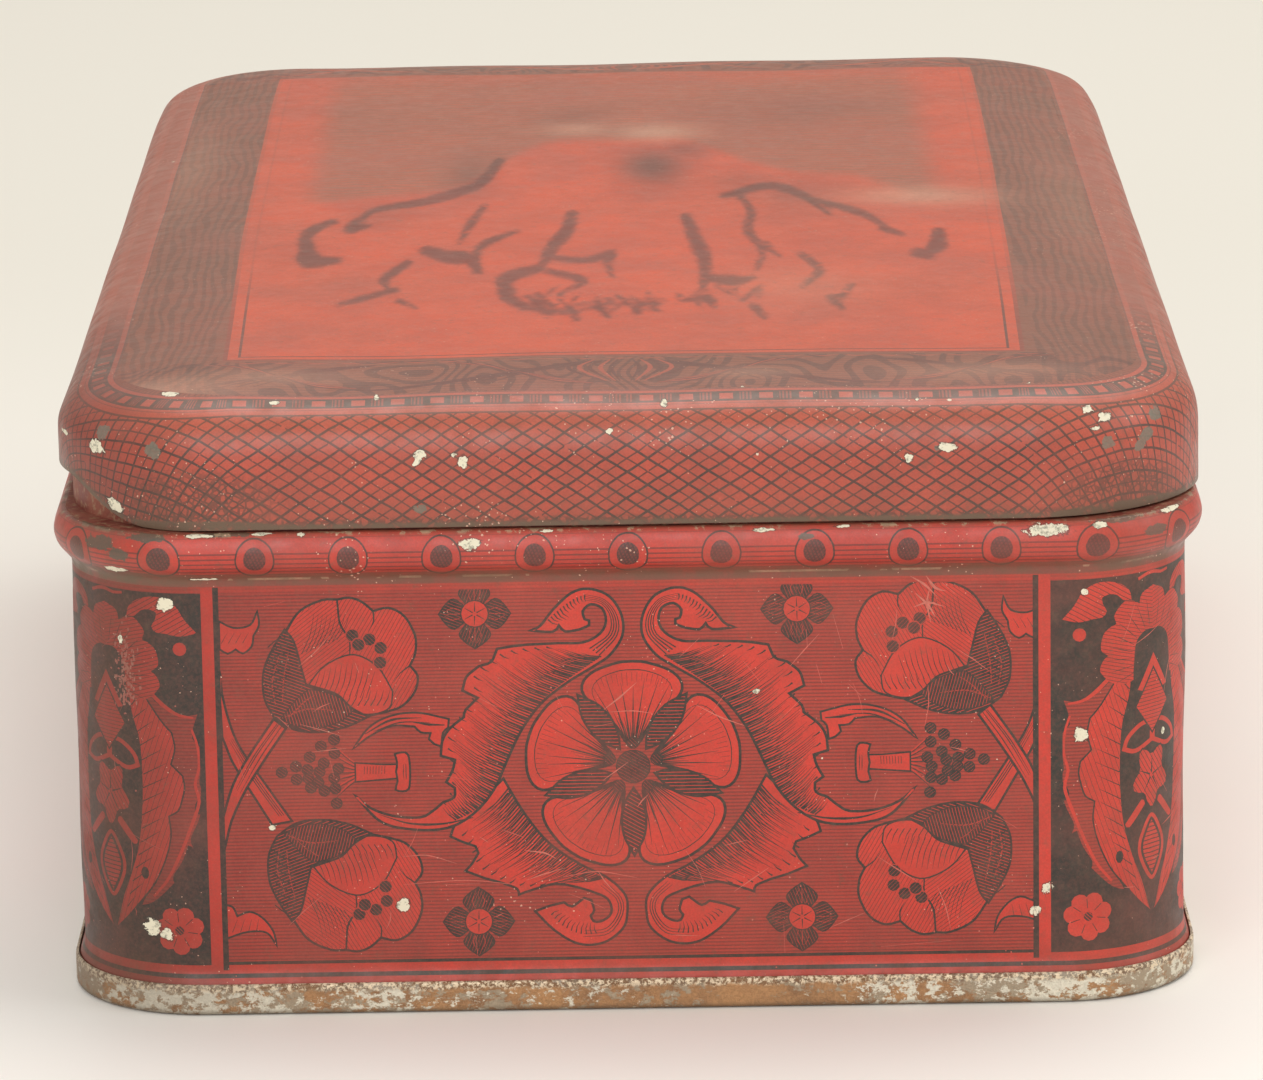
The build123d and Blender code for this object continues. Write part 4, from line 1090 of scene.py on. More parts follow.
    # grooved side seam down the middle of the back, inside
    xs = np.array([2.3, 2.3, 1.9, -1.9, -2.3, -2.3])
    ys = np.array([0, -0.35, -0.75, -0.75, -0.35, 0]) + 110 - 0.33 + SY
    rows = np.linspace(5.6, 49.6, 12)
    P = np.array([(x, y, z) for z in rows for x, y in zip(xs, ys)])
    nn = np.array([(0.8, -0.3, 0), (0.8, -0.5, 0), (0.3, -1, 0), (-0.3, -1, 0), (-0.8, -0.5, 0), (-0.8, -0.3, 0)])
    b.add(P, np.tile(nn, (len(rows), 1)), grid_faces(len(xs), len(rows), False, True), 3)
    return b.make("body_skin", mats)


# ---------------------------------------------------------------- lid skin
LID_CHIPS = [(-1.8, 10.6, 0.6, 0.45), (4.2, 14.6, 0.65, 1.2), (31.0, 7.1, 0.75, 0.8), (35.4, 8.3, 1.7, 0.75), (51.6, 12.0, 0.95, 0.75), (53.6, 10.9, 1.2, 0.8), (52.0, 9.8, 0.9, 0.5),
             (-18.2, 7.5, 0.75, 1.1), (-19.0, 8.3, 0.6, 0.5), (-22.8, 8.2, 0.95, 0.95), (-23.5, 7.2, 0.5, 0.4), (-39.0, 15.9, 0.75, 0.8), (-54.5, 17.4, 2.2, 1.0), (-61.0, 18.6, 1.6, 0.9),
             (-61.2, 7.6, 1.9, 1.3), (-58.2, 1.1, 1.7, 0.9), (-69, 7.0, 1.8, 0.7), (-50, 19.0, 0.8, 0.5), (32.0, 14.5, 0.4, 0.45), (-27.6, 17.2, 0.5, 1.2), (-36, 12.8, 0.5, 0.3)]
LID_GREY = [(61.0, 10.1, 1.5, 1.1), (59.0, 8.3, 1.3, 0.9), (57.8, 7.1, 1.1, 0.8), (53.4, 8.0, 1.3, 1.0), (-53.0, 8.8, 1.5, 1.2), (-60.4, 9.8, 1.3, 1.5), (-23.0, 2.0, 1.0, 0.7), (34.4, 8.2, 0.8, 0.5)]


def dash_shift(s):
    cx, cy, th = ring(s, LA, LB, LQ)
    return -1.0 * np.abs(np.sin(2 * th)) ** 1.2


def flat_sheet(s, T):
    """Where a point of the skirt lay on the flat printed sheet."""
    cx, cy, th = ring(s, LA, LB, LQ)
    R = LR + (13.3 - T) * 1.0 - 3.0
    return cx + R * np.sin(th), cy - R * np.cos(th)


FL = 0.34          # the picture lies almost along the line of sight, so its strokes are drawn in these proportions
LIMBS = []


def limb_field(X, Y, soft=0.75):
    """1 inside the brushed strokes of the animals, fading to 0 over their soft edge."""
    f = np.zeros(len(X))
    x, y = X, Y * FL
    for p, w in LIMBS:
        m = np.nonzero((x > p[:, 0].min() - 2) & (x < p[:, 0].max() + 2) & (y > p[:, 1].min() - 2) & (y < p[:, 1].max() + 2))[0]
        if not len(m):
            continue
        best = np.full(len(m), -9.0)
        for i in range(len(p) - 1):
            a, d = p[i], p[i + 1] - p[i]
            t = np.clip(((x[m] - a[0]) * d[0] + (y[m] - a[1]) * d[1]) / max(d @ d, 1e-9), 0, 1)
            r = np.hypot(x[m] - a[0] - t * d[0], y[m] - a[1] - t * d[1])
            best = np.maximum(best, w[i] + (w[i + 1] - w[i]) * t - r)
        f[m] = np.maximum(f[m], smooth01(best, -soft, soft * 0.6))
    return f


def lid_top_art():
    """Border foliage, picture panel and a plain galloping-herd vignette, x and y from the lid centre."""
    g = Art()
    W = 70
    ZONE = (0.0, 0, -0.6, 0.0)
    g.add([(-W, -115), (W, -115), (W, 115), (-W, 115)], ZONE)
    TH = (1, 0, 0.08, 0)          # soft dark line on the border

    def leaf(pts, w=0.5, ink=TH):
        q = [(x, math.copysign(92.0 + (abs(y) - 92.6) * 0.80, y) if abs(y) > 92.5 else y) for x, y in pts]
        g.add(stroke(q, w * 0.55, w * 1.5, w * 0.4, step=1.2), ink)
    LT = (0, 0, -0.45, 0)
    # scrolling leaves along the front and back borders
    for ys in (-1, 1):
        for sx in (-1, 1):
            for x0, k in ((0, 1.0), (26.5, 0.9)):
                for j in range(9):
                    f = j / 8
                    leaf([(sx * (x0 + 1.5 + 2.0 * f), ys * (94.5 + 1.2 * f)), (sx * (x0 + 6 + 8 * f), ys * (95.5 + 6 * f)), (sx * (x0 + 10 + 15 * f), ys * (99 + 6.5 * f)), (sx * (x0 + 15 + 15 * f), ys * (104.2 + 1.5 * f))], 0.42)
                for j in range(7):
                    f = j / 6
                    leaf([(sx * (x0 + 22 - 6 * f), ys * (93.6 + f)), (sx * (x0 + 17 - 4 * f), ys * (95 + 4 * f)), (sx * (x0 + 13 - 5 * f), ys * (99 + 5 * f)), (sx * (x0 + 6 - 3 * f), ys * (103.8 + 1.2 * f))], 0.3, LT if j % 2 else TH)
            for j in range(5):
                leaf([(sx * (0.8 + j * 0.9), ys * 94.0), (sx * (1.6 + j * 1.2), ys * 98.5), (sx * (0.6 + j * 0.5), ys * 104.0)], 0.4, LT if j % 2 else TH)
        for j in range(24):
            x = -44 + j * 3.8
            leaf([(x, ys * 92.6), (x + 1.6, ys * 93.4), (x + 3.4, ys * 92.7)], 0.25, LT)
    # the picture panel; its printed edge bows a little
    def edge(o):
        R = [(44.35 - o, -90.6 + o), (45.0 - o, -60), (45.6 - o, -20), (46.2 - o, 20), (46.6 - o, 60), (46.8 - o, 90.4 - o)]
        L = [(-46.8 + o, 90.4 - o), (-46.8 + o, 60), (-46.6 + o, 20), (-46.3 + o, -20), (-45.6 + o, -60), (-45.0 + o, -90.6 + o)]
        return np.vstack([catmull(R, 6), catmull(L, 6)])
    g.add(edge(-0.5), (0.6, 0, -0.1, 0))
    g.add(edge(0.0), RED)
    g.add(edge(1.15), (1, 0, 0.1, 0))
    g.add(edge(1.45), RED)

    def limb(pts, w):
        q = np.array([(x, y * FL) for x, y in pts])
        p = catmull(q, 0.8) if len(q) > 2 else q
        k = np.linspace(0, 1, len(p))
        wd = np.where(k < 0.5, w * (0.75 + 0.8 * k), w * (1.15 - 1.5 * (k - 0.5))) / 2
        LIMBS.append((p, wd))
    # left beast: back, tail and legs
    limb([(-16, 26), (-18, 12), (-20.5, 6), (-25, 0), (-31, -5), (-33, -14)], 1.7)
    limb([(-33, -12), (-33.5, -17), (-31.5, -15)], 1.7)
    limb([(-36, -12), (-38.5, -18), (-38.8, -26), (-37, -33)], 1.6)
    limb([(-38.6, -27), (-38, -35), (-34.5, -35.5)], 2.4)
    limb([(-17.5, -4), (-19, -16), (-20, -27)], 1.0)
    limb([(-24, -31), (-21.5, -35), (-18.5, -37), (-17.5, -45)], 2.2)
    limb([(-26, -38), (-28.5, -47), (-28, -53)], 1.4)
    limb([(-27, -54), (-32, -60), (-33.5, -62)], 1.0)
    limb([(-26.5, -60), (-24.5, -64)], 1.0)
    limb([(-18, -36), (-17, -28), (-13, -20)], 1.1)
    # middle beast
    limb([(-6.5, -10), (-7, -20), (-9, -32), (-10, -42)], 1.7)
    limb([(-10, -42), (-14, -48), (-14, -60)], 1.9)
    limb([(-9.5, -36), (-4.5, -38), (-1.5, -34), (-2, -40), (-1.5, -48)], 1.1)
    limb([(7.5, -13), (8.5, -26), (9.5, -40), (9.2, -56)], 1.7)
    limb([(10, -50), (13, -51.5), (15, -50)], 1.8)
    limb([(14, 2), (15.5, -10), (15, -22), (16.5, -34), (15.5, -46)], 1.0)
    limb([(12.5, 0), (18, 6), (22, 0), (25, -12)], 1.5)
    limb([(24, -4), (29, -12), (32, -22)], 1.3)
    limb([(31.5, -22), (33.5, -25.5)], 1.7)
    limb([(38, -24), (37.5, -32), (35.5, -38)], 2.0)
    limb([(35, -36), (36.5, -39)], 2.4)
    limb([(21, -36), (23, -46), (20.5, -56)], 1.0)
    limb([(26.5, -55), (24.5, -66)], 1.0)
    limb([(17, -30), (18.5, -38)], 0.8)
    # tufts of grass
    r = random.Random(9)
    for _ in range(46):
        x = r.uniform(-15, 15.5)
        y = -55 - 12 * (1 - abs(x) / 22) + r.uniform(-3, 3)
        limb([(x, y), (x + r.uniform(-1.6, 1.6), y + r.uniform(3, 7))], r.uniform(0.35, 0.9))
    for x, y in ((-14, -52), (-13, -60), (-10, -64), (-6.5, -66), (9.3, -60), (15, -66), (24, -62), (-3, -65)):
        limb([(x, y), (x + 1.0, y - 6)], 1.6)
    limb([(-14.5, -50), (-13, -62), (-7, -69)], 1.2)
    limb([(-9, -44), (-5, -50), (-7, -56)], 1.2)
    for _ in range(30):
        x, y = r.uniform(-42, 42), r.uniform(-88, -72)
        g.add(stroke([(x, y), (x + r.uniform(1, 4), y + r.uniform(-0.5, 0.5))], 0.05, 0.16, 0.05, step=2), (0, 0, -0.2, 0))
    return g


def build_lid(mats):
    b = Builder()
    T_END = float(np.interp(7.0, LID_U, LID_T))
    fine = seg_stations(LA, LB, LQ, 0.62, 0.6)
    coarse = seg_stations(LA, LB, LQ, 1.7, 1.0)
    L = 4 * (LA + LB + LQ)
    near = lambda s: (s < LA + LQ * 0.9) | (s > L - LA - LQ * 0.9)
    half = L / 2
    cuts = [half + x for x in (-40.3, -31.7, 31.7, 40.3)]
    cand = np.concatenate([fine[near(fine)], coarse[~near(coarse)]])
    cand = np.array([c for c in cand if min(abs(c - q) for q in cuts) > 0.5])
    ss = np.append(np.sort(np.concatenate([cand, cuts])), L)
    ts = np.unique(np.concatenate([np.linspace(0, 2.5, 5), np.linspace(2.5, 5.3, 6), np.linspace(5.3, 17.5, 26), np.linspace(17.5, T_END, 5)]))

    def skip(i, j):
        if ts[j + 1] > 2.51:
            return False
        a = ss[i] - half
        c = ss[i + 1] - half
        return (a > -40.31 and c < -31.69) or (a > 31.69 and c < 40.31)
    S, T = np.meshgrid(ss, ts)
    S, T = S.ravel(), T.ravel()
    P = lid_point(S, T)
    N = normals(lid_point, S, np.clip(T, 0.15, None))
    fx, fy = flat_sheet(S, T)
    Ss = np.where(S > half, S - L, S)
    chip = blob_field(Ss, T, LID_CHIPS)
    grey = blob_field(Ss, T, LID_GREY)
    crack = np.clip(blob_field(Ss, T, [(-47.5, 3.0, 11, 4.4), (55.5, 2.6, 10, 4.0)]) * 2.2, 0, 1)
    # lowest millimetre of the skirt: worn raw edge with a painted shadow of the gap below the lid
    edge = (1 - smooth01(T, 0.3, 1.1)) * 1.0
    b.add(P, N, grid_faces(len(ss), len(ts), False, False, skip), 0, st=np.stack([S, T - dash_shift(S), T], 1), fl=np.stack([fx, fy, grey], 1), chip=chip, grime_shade_sky=crack + edge * 2.0)

    # top, drawn
    art = lid_top_art()
    d = 7.0
    Rr = LR - d
    cx, cy, th = ring(ss[:-1], LA, LB, LQ)
    bd = np.stack([cx + Rr * np.sin(th), cy - Rr * np.cos(th)], 1)
    rp = random.Random(12)
    extra = [(x + 0.4 * (j % 2) + rp.uniform(-0.1, 0.1), y + rp.uniform(-0.2, 0.2)) for j, y in enumerate(np.arange(-74, 66, 1.6)) for x in np.arange(-42, 42, 0.8)]
    pts, tri, idx = triangulate_round(art, bd, 2.4, extra)
    P = top_point(pts[:, 0], pts[:, 1])
    N = normals(top_point, pts[:, 0], pts[:, 1], 0.3, 0.3)
    ink = np.array([art.items[i][1] if i >= 0 else (0, 0, -0.6, 0) for i in idx], float)
    hat = np.array([art.items[i][2] if i >= 0 else (1, 0, 0.42) for i in idx], float)
    chips = [(43.8, -80.5, 0.5, 1.6), (-50.5, -108.5, 1.2, 1.2), (-53, -103, 0.9, 1.6), (13, -103.5, 0.4, 1.0), (0.5, -103, 0.3, 1.6), (44.5, -104, 0.35, 1.0)]
    X, Y = pts[:, 0], pts[:, 1]
    # soft masks of the picture: the sky, and the dark masses of the animals
    arch = 4 + 35 * np.exp(-((X + 2) / 15.5) ** 4) + 12 * np.exp(-((X - 17) / 8.0) ** 2) + 5 * np.exp(-((X - 27) / 6.0) ** 2) - 6 * smooth01(np.abs(X), 28, 40)
    arch = arch + waves(X * 3, Y * 0.6, 41, 1.6)
    sky = smooth01(Y - arch, -3, 5) * (1 - smooth01(np.abs(X + 0.3), 36.5, 41.5) * 0.9) * (1 - 0.35 * smooth01(Y, 78, 90))
    mass = np.zeros(len(X))
    for cx_, cy_, rx, ry, k in ((3.6, 20, 4.6, 14, 0.80), (7.5, 31, 4.0, 8, 0.55), (0.5, 12, 3.0, 9, 0.3), (-3, 44, 10, 8, 0.15), (-19.5, 16, 3.0, 14, 0.42), (23, 58, 10, 12, 0.22), (-7, 56, 6, 10, 0.25), (14, 8, 4, 12, 0.25), (22, -2, 5, 10, 0.3), (-30, -8, 5, 8, 0.22), (8, 12, 9, 12, 0.15)):
        mass = np.maximum(mass, k * np.exp(-((X - cx_) / rx) ** 2 - ((Y - cy_) / ry) ** 2))
    # painted sheen: pale hazy highlights on the picture and the border
    painted_sheen = np.zeros(len(X))
    for cx_, cy_, rx, ry, k in ((37, -1, 9, 6, 0.6), (4, 45, 5.5, 6, 0.60), (-6, 47, 5, 5, 0.4), (-52, -101, 9, 4, 0.5), (-40, -98, 10, 2.5, 0.35), (40, -99, 12, 3, 0.3), (14, -99, 5, 2, 0.3), (-56, 30, 4, 30, 0.2), (56, 0, 4, 40, 0.15), (20, -55, 9, 12, 0.2)):
        painted_sheen = np.maximum(painted_sheen, k * np.exp(-((X - cx_) / rx) ** 2 - ((Y - cy_) / ry) ** 2))
    b.add(P, N, tri, 1, st=np.stack([X, Y, inset_of(X, Y)], 1), fl=np.stack([mass, painted_sheen, limb_field(X, Y)], 1), grime_shade_sky=sky, chip=blob_field(X, Y, chips), ink=ink, hat=hat)

    # inside of the skirt and of the top, a sheet thickness in
    si = np.sort(np.concatenate([np.array([c for c in seg_stations(LA, LB, LQ, 3.0, 1.6) if min(abs(c - q) for q in cuts) > 0.8]), cuts]))
    ti = np.unique(np.concatenate([[0, 2.5, 5.3], np.linspace(5.3, LID_T[-1], 30)]))

    def skip2(i, j):
        if ti[j + 1] > 2.51:
            return False
        a = si[i] - half
        c = (si[(i + 1) % len(si)]) - half
        return (a > -40.31 and c < -31.69) or (a > 31.69 and c < 40.31)
    S, T = np.meshgrid(si, ti)
    S, T = S.ravel(), T.ravel()
    N = normals(lid_point, S, np.clip(T, 0.15, LID_T[-1] - 0.2))
    P = lid_point(S, T) - 0.35 * N
    b.add(P, -N, grid_faces(len(si), len(ti), True, True, skip2), 2)
    gx, gy = np.linspace(-LA - 0.6, LA + 0.6, 36), np.linspace(-LB - 0.6, LB + 0.6, 70)
    X, Y = np.meshgrid(gx, gy)
    X, Y = X.ravel(), Y.ravel()
    P = top_point(X, Y)
    P[:, 2] -= 0.35
    N = -normals(top_point, X, Y, 0.3, 0.3)
    b.add(P, N, grid_faces(len(gx), len(gy), False, True), 2)
    # raw edge round the bottom, and the notch edges
    half_w = 0.35
    o = lid_point(si, 0 * si)
    n = normals(lid_point, si, 0 * si + 0.15)
    ii = o - half_w * n

    def skip3(i, j):
        return skip2(i, 0)
    b.add(np.vstack([ii, o]), np.tile([0, 0, -1.0], (2 * len(si), 1)), grid_faces(len(si), 2, True, False, skip3), 2)
    for c0, c1 in ((cuts[0], cuts[1]), (cuts[2], cuts[3])):
        sx = np.array([c0, c0, c1, c1])
        tx = np.array([0, 2.5, 2.5, 0])
        o = lid_point(sx, tx)
        n = normals(lid_point, sx, np.clip(tx, 0.15, None))
        ii = o - half_w * n
        ctr = o.mean(0)
        for k in range(3):
            q = np.array([o[k], o[k + 1], ii[k + 1], ii[k]])
            e = np.cross(q[1] - q[0], q[3] - q[0])
            e = e / np.linalg.norm(e)
            if np.dot(ctr - q.mean(0), e) < 0:
                q, e = q[::-1], -e
            b.add(q, np.tile(e, (4, 1)), [(0, 1, 2, 3)], 2)
    return b.make("lid_skin", mats)


def triangulate_round(art, boundary, grid, extra):
    """CDT of the painted shapes inside the rounded outline."""
    x0, y0 = boundary.min(0)
    x1, y1 = boundary.max(0)
    r = random.Random(6)
    st = []
    for x in np.arange(x0, x1, grid):
        for y in np.arange(y0, y1, grid):
            px, py = x + r.uniform(-0.4, 0.4), y + r.uniform(-0.4, 0.4)
            if inset_of(np.array(px), np.array(py)) > 7.9:
                st.append((px, py))
    st += list(extra)
    return cdt(art, boundary, st, inside=lambda q: inset_of(q[:, 0], q[:, 1]).min() > 7.2)


# ---------------------------------------------------------------- materials
def lin(r, g, b):
    f = lambda c: c / 12.92 if c <= 0.04045 else ((c + 0.055) / 1.055) ** 2.4
    return (f(r / 255.0), f(g / 255.0), f(b / 255.0), 1.0)


class Nodes:
    """Short hand for node trees. A value is a socket or a number."""

    def __init__(self, name):
        self.m = bpy.data.materials.new(name)
        self.m.use_nodes = True
        self.t = self.m.node_tree
        self.t.nodes.clear()
        self.out = self.t.nodes.new("ShaderNodeOutputMaterial")
        self.bsdf = self.t.nodes.new("ShaderNodeBsdfPrincipled")
        self.t.links.new(self.bsdf.outputs[0], self.out.inputs[0])

    def put(self, sock, v):
        if isinstance(v, bpy.types.NodeSocket):
            self.t.links.new(v, sock)
        else:
            sock.default_value = v

    def math(self, op, a, b=None, c=None, clamp=False):
        n = self.t.nodes.new("ShaderNodeMath")
        n.operation = op
        n.use_clamp = clamp
        self.put(n.inputs[0], a)
        if b is not None:
            self.put(n.inputs[1], b)
        if c is not None:
            self.put(n.inputs[2], c)
        return n.outputs[0]

    def add(self, a, b): return self.math("ADD", a, b)
    def sub(self, a, b): return self.math("SUBTRACT", a, b)
    def mul(self, a, b): return self.math("MULTIPLY", a, b)
    def frac(self, a): return self.math("FRACT", a)
    def lt(self, a, b): return self.math("LESS_THAN", a, b)
    def gt(self, a, b): return self.math("GREATER_THAN", a, b)
    def mx(self, a, b): return self.math("MAXIMUM", a, b)
    def mn(self, a, b): return self.math("MINIMUM", a, b)

    def ramp(self, v, a, b, lo=0.0, hi=1.0):
        n = self.t.nodes.new("ShaderNodeMapRange")
        n.interpolation_type = "SMOOTHSTEP"
        self.put(n.inputs["Value"], v)
        self.put(n.inputs["From Min"], a)
        self.put(n.inputs["From Max"], b)
        n.inputs["To Min"].default_value = lo
        n.inputs["To Max"].default_value = hi
        return n.outputs["Result"]

    def attr(self, name):
        n = self.t.nodes.new("ShaderNodeAttribute")
        n.attribute_name = name
        return n

    def xyz(self, vec):
        n = self.t.nodes.new("ShaderNodeSeparateXYZ")
        self.put(n.inputs[0], vec)
        return n.outputs[0], n.outputs[1], n.outputs[2]

    def comb(self, x, y, z):
        n = self.t.nodes.new("ShaderNodeCombineXYZ")
        for i, v in enumerate((x, y, z)):
            self.put(n.inputs[i], v)
        return n.outputs[0]

    def mm(self, sx=1.0, sy=1.0, sz=1.0, rot=(0, 0, 0)):
        """Object coordinates in millimetres, scaled."""
        c = self.t.nodes.new("ShaderNodeTexCoord")
        m = self.t.nodes.new("ShaderNodeMapping")
        m.inputs["Scale"].default_value = (1000 * sx, 1000 * sy, 1000 * sz)
        m.inputs["Rotation"].default_value = rot
        self.t.links.new(c.outputs["Object"], m.inputs["Vector"])
        return m.outputs[0]

    def noise(self, vec, scale, detail=3.0, rough=0.55, dist=0.0):
        n = self.t.nodes.new("ShaderNodeTexNoise")
        self.put(n.inputs["Vector"], vec)
        n.inputs["Scale"].default_value = scale
        n.inputs["Detail"].default_value = detail
        n.inputs["Roughness"].default_value = rough
        n.inputs["Distortion"].default_value = dist
        return n.outputs["Fac"] if "Fac" in n.outputs else n.outputs[0]

    def voro(self, vec, scale, feature="F1"):
        n = self.t.nodes.new("ShaderNodeTexVoronoi")
        n.feature = feature
        self.put(n.inputs["Vector"], vec)
        n.inputs["Scale"].default_value = scale
        return n.outputs["Distance"]

    def mix(self, f, a, b):
        n = self.t.nodes.new("ShaderNodeMix")
        n.data_type = "RGBA"
        self.put(n.inputs[0], f)
        self.put(n.inputs[6], a)
        self.put(n.inputs[7], b)
        return n.outputs[2]

    def bump(self, h, dist, strength=1.0, prev=None):
        n = self.t.nodes.new("ShaderNodeBump")
        n.inputs["Distance"].default_value = dist
        n.inputs["Strength"].default_value = strength
        self.put(n.inputs["Height"], h)
        if prev is not None:
            self.t.links.new(prev, n.inputs["Normal"])
        return n.outputs[0]

    def finish(self, color, rough, normal=None, metal=0.0, spec=0.5, coat=0.0, coat_rough=0.2):
        p = self.bsdf.inputs
        self.put(p["Base Color"], color)
        self.put(p["Roughness"], rough)
        self.put(p["Metallic"], metal)
        self.put(p["Specular IOR Level"], spec)
        if coat:
            p["Coat Weight"].default_value = coat
            p["Coat Roughness"].default_value = coat_rough
        if normal is not None:
            self.t.links.new(normal, p["Normal"])
        return self.m


C_RED = lin(208, 60, 46)
C_RED2 = lin(190, 57, 44)
C_GROUND = lin(176, 60, 47)
C_GROUND2 = lin(158, 56, 45)
C_RULE = lin(122, 50, 42)
C_DARK = lin(42, 42, 37)
C_DARK2 = lin(56, 52, 45)
C_BROWN = lin(92, 62, 50)
C_GRIME_AND_SHADE = lin(100, 78, 60)
C_CHIP = lin(222, 214, 190)
C_CHIP2 = lin(150, 146, 128)
C_TIN = lin(150, 146, 138)
C_PINK = lin(206, 140, 122)
C_MAROON = lin(146, 86, 64)
C_NET = lin(184, 75, 55)
C_NET2 = lin(166, 71, 53)
C_TOP = lin(212, 84, 49)
C_TOP2 = lin(198, 79, 48)


def wear(N, color, chip, grime_shade_sky, speck=0.5, rough=0.42):
    """Grime and painted shade, pale specks and chips over a printed colour. Returns colour, roughness, bump height."""
    o = N.mm()
    big = N.noise(o, 0.06, 4.0, 0.6)
    mid = N.noise(o, 0.35, 5.0, 0.65)
    fine = N.noise(o, 2.6, 4.0, 0.7)
    # tone: sun, handling and fine mottling fade the ink unevenly
    color = N.mix(N.mul(N.ramp(big, 0.42, 0.72), 0.20), color, lin(178, 92, 76))
    color = N.mix(N.mul(N.ramp(fine, 0.38, 0.72), 0.20), color, lin(150, 84, 70))
    color = N.mix(N.mul(N.ramp(N.noise(N.mm(), 4.5, 2.0, 0.6), 0.35, 0.65), 0.16), color, lin(64, 44, 38))
    color = N.mix(N.mul(N.ramp(N.noise(N.mm(), 0.8, 5.0, 0.7), 0.56, 0.72), 0.32), color, C_GRIME_AND_SHADE)
    # grime, and painted shade where the mask carries it
    g = N.math("MULTIPLY", grime_shade_sky, N.ramp(mid, 0.28, 0.62, 0.35, 1.0), clamp=True)
    color = N.mix(g, color, C_GRIME_AND_SHADE)
    # very small pale specks
    v = N.add(N.voro(N.mm(), 1.55), N.mul(N.sub(N.noise(N.mm(), 3.2, 2.0), 0.5), 0.5))
    sp = N.lt(v, N.ramp(N.noise(N.mm(), 0.11, 3.0), 0.36, 0.75, -0.06, 0.22 * speck))
    color = N.mix(N.mul(sp, 0.75), color, lin(218, 172, 148))
    v2 = N.add(N.voro(N.mm(1, 1, 1, (0.3, 0.7, 0.2)), 0.19), N.mul(N.sub(N.noise(N.mm(), 1.8, 3.0, 0.7), 0.5), 0.10))
    sp2 = N.lt(v2, N.ramp(N.noise(N.mm(), 0.07, 2.0, 0.5), 0.54, 0.74, 0.0, 0.07 * speck))
    color = N.mix(N.mul(sp2, 0.85), color, C_CHIP)
    # chips
    f = N.add(chip, N.mul(N.sub(N.noise(N.mm(), 0.9, 4.0, 0.7), 0.5), 1.5))
    cm = N.gt(f, 0.30)
    rim = N.sub(N.gt(f, 0.16), cm)
    cc = N.mix(N.ramp(N.noise(N.mm(), 1.3, 4.0, 0.7), 0.50, 0.66), C_CHIP, C_CHIP2)
    color = N.mix(N.mul(rim, 0.55), color, C_DARK2)
    color = N.mix(cm, color, cc)
    r = N.add(N.ramp(mid, 0.3, 0.75, rough - 0.05, rough + 0.16), N.mul(cm, 0.25))
    h = N.add(N.mul(mid, 0.35), N.mul(fine, 0.12))
    h = N.sub(h, N.mul(N.gt(f, 0.22), 0.5))
    return color, r, h


def drawn(N):
    """The printed drawing from the face attributes: dark lines, ruling, hatching, tone."""
    st = N.attr("st").outputs["Vector"]
    s, z, t = N.xyz(st)
    dark, rule, tone = N.xyz(N.attr("ink").outputs["Vector"])
    N.attr_rule = rule
    hx, hy, hs = N.xyz(N.attr("hat").outputs["Vector"])
    wob = N.mul(N.sub(N.noise(N.mm(), 0.5, 2.0), 0.5), 0.35)
    line = N.mul(N.lt(N.frac(N.add(N.mul(z, 1 / 0.41), N.mul(wob, 0.5))), N.ramp(N.noise(N.mm(), 0.25, 3.0), 0.3, 0.7, 0.32, 0.50)), rule)
    hl = N.lt(N.frac(N.add(N.add(N.mul(s, hx), N.mul(z, hy)), wob)), hs)
    ink = N.mx(dark, hl)
    return s, z, line, ink, tone


def mat_print():
    """Wall of the tin."""
    N = Nodes("litho_red_print")
    s, z, line, ink, tone = drawn(N)
    nb = N.ramp(N.noise(N.mm(), 0.2, 4.0), 0.3, 0.7)
    base = N.mix(N.math("MULTIPLY", N.attr_rule, 1.0, clamp=True), N.mix(nb, C_RED, C_RED2), N.mix(nb, C_GROUND, C_GROUND2))
    base = N.mix(N.math("MULTIPLY", tone, -1.0, clamp=True), base, C_BROWN)
    base = N.mix(N.mul(line, 0.8), base, C_RULE)
    base = N.mix(ink, base, N.mix(N.ramp(N.noise(N.mm(), 0.8, 3.0), 0.3, 0.7), C_DARK, C_DARK2))
    base = N.mix(N.math("MAXIMUM", tone, 0.0), base, C_PINK)
    # painted shade on the front left of the wall, carried in the fl attribute
    left_painted_shade, _, _ = N.xyz(N.attr("fl").outputs["Vector"])
    base = N.mix(left_painted_shade, base, lin(46, 28, 24))
    chip = N.attr("chip").outputs["Fac"]
    # grime with painted shade in the groove and at the corners
    grime_shade_sky = N.mul(N.attr("grime_shade_sky").outputs["Fac"], 0.42)
    col, r, h = wear(N, base, chip, grime_shade_sky, 0.55, 0.44)
    return N.finish(col, r, N.bump(h, 0.00012, 0.55), spec=0.42)


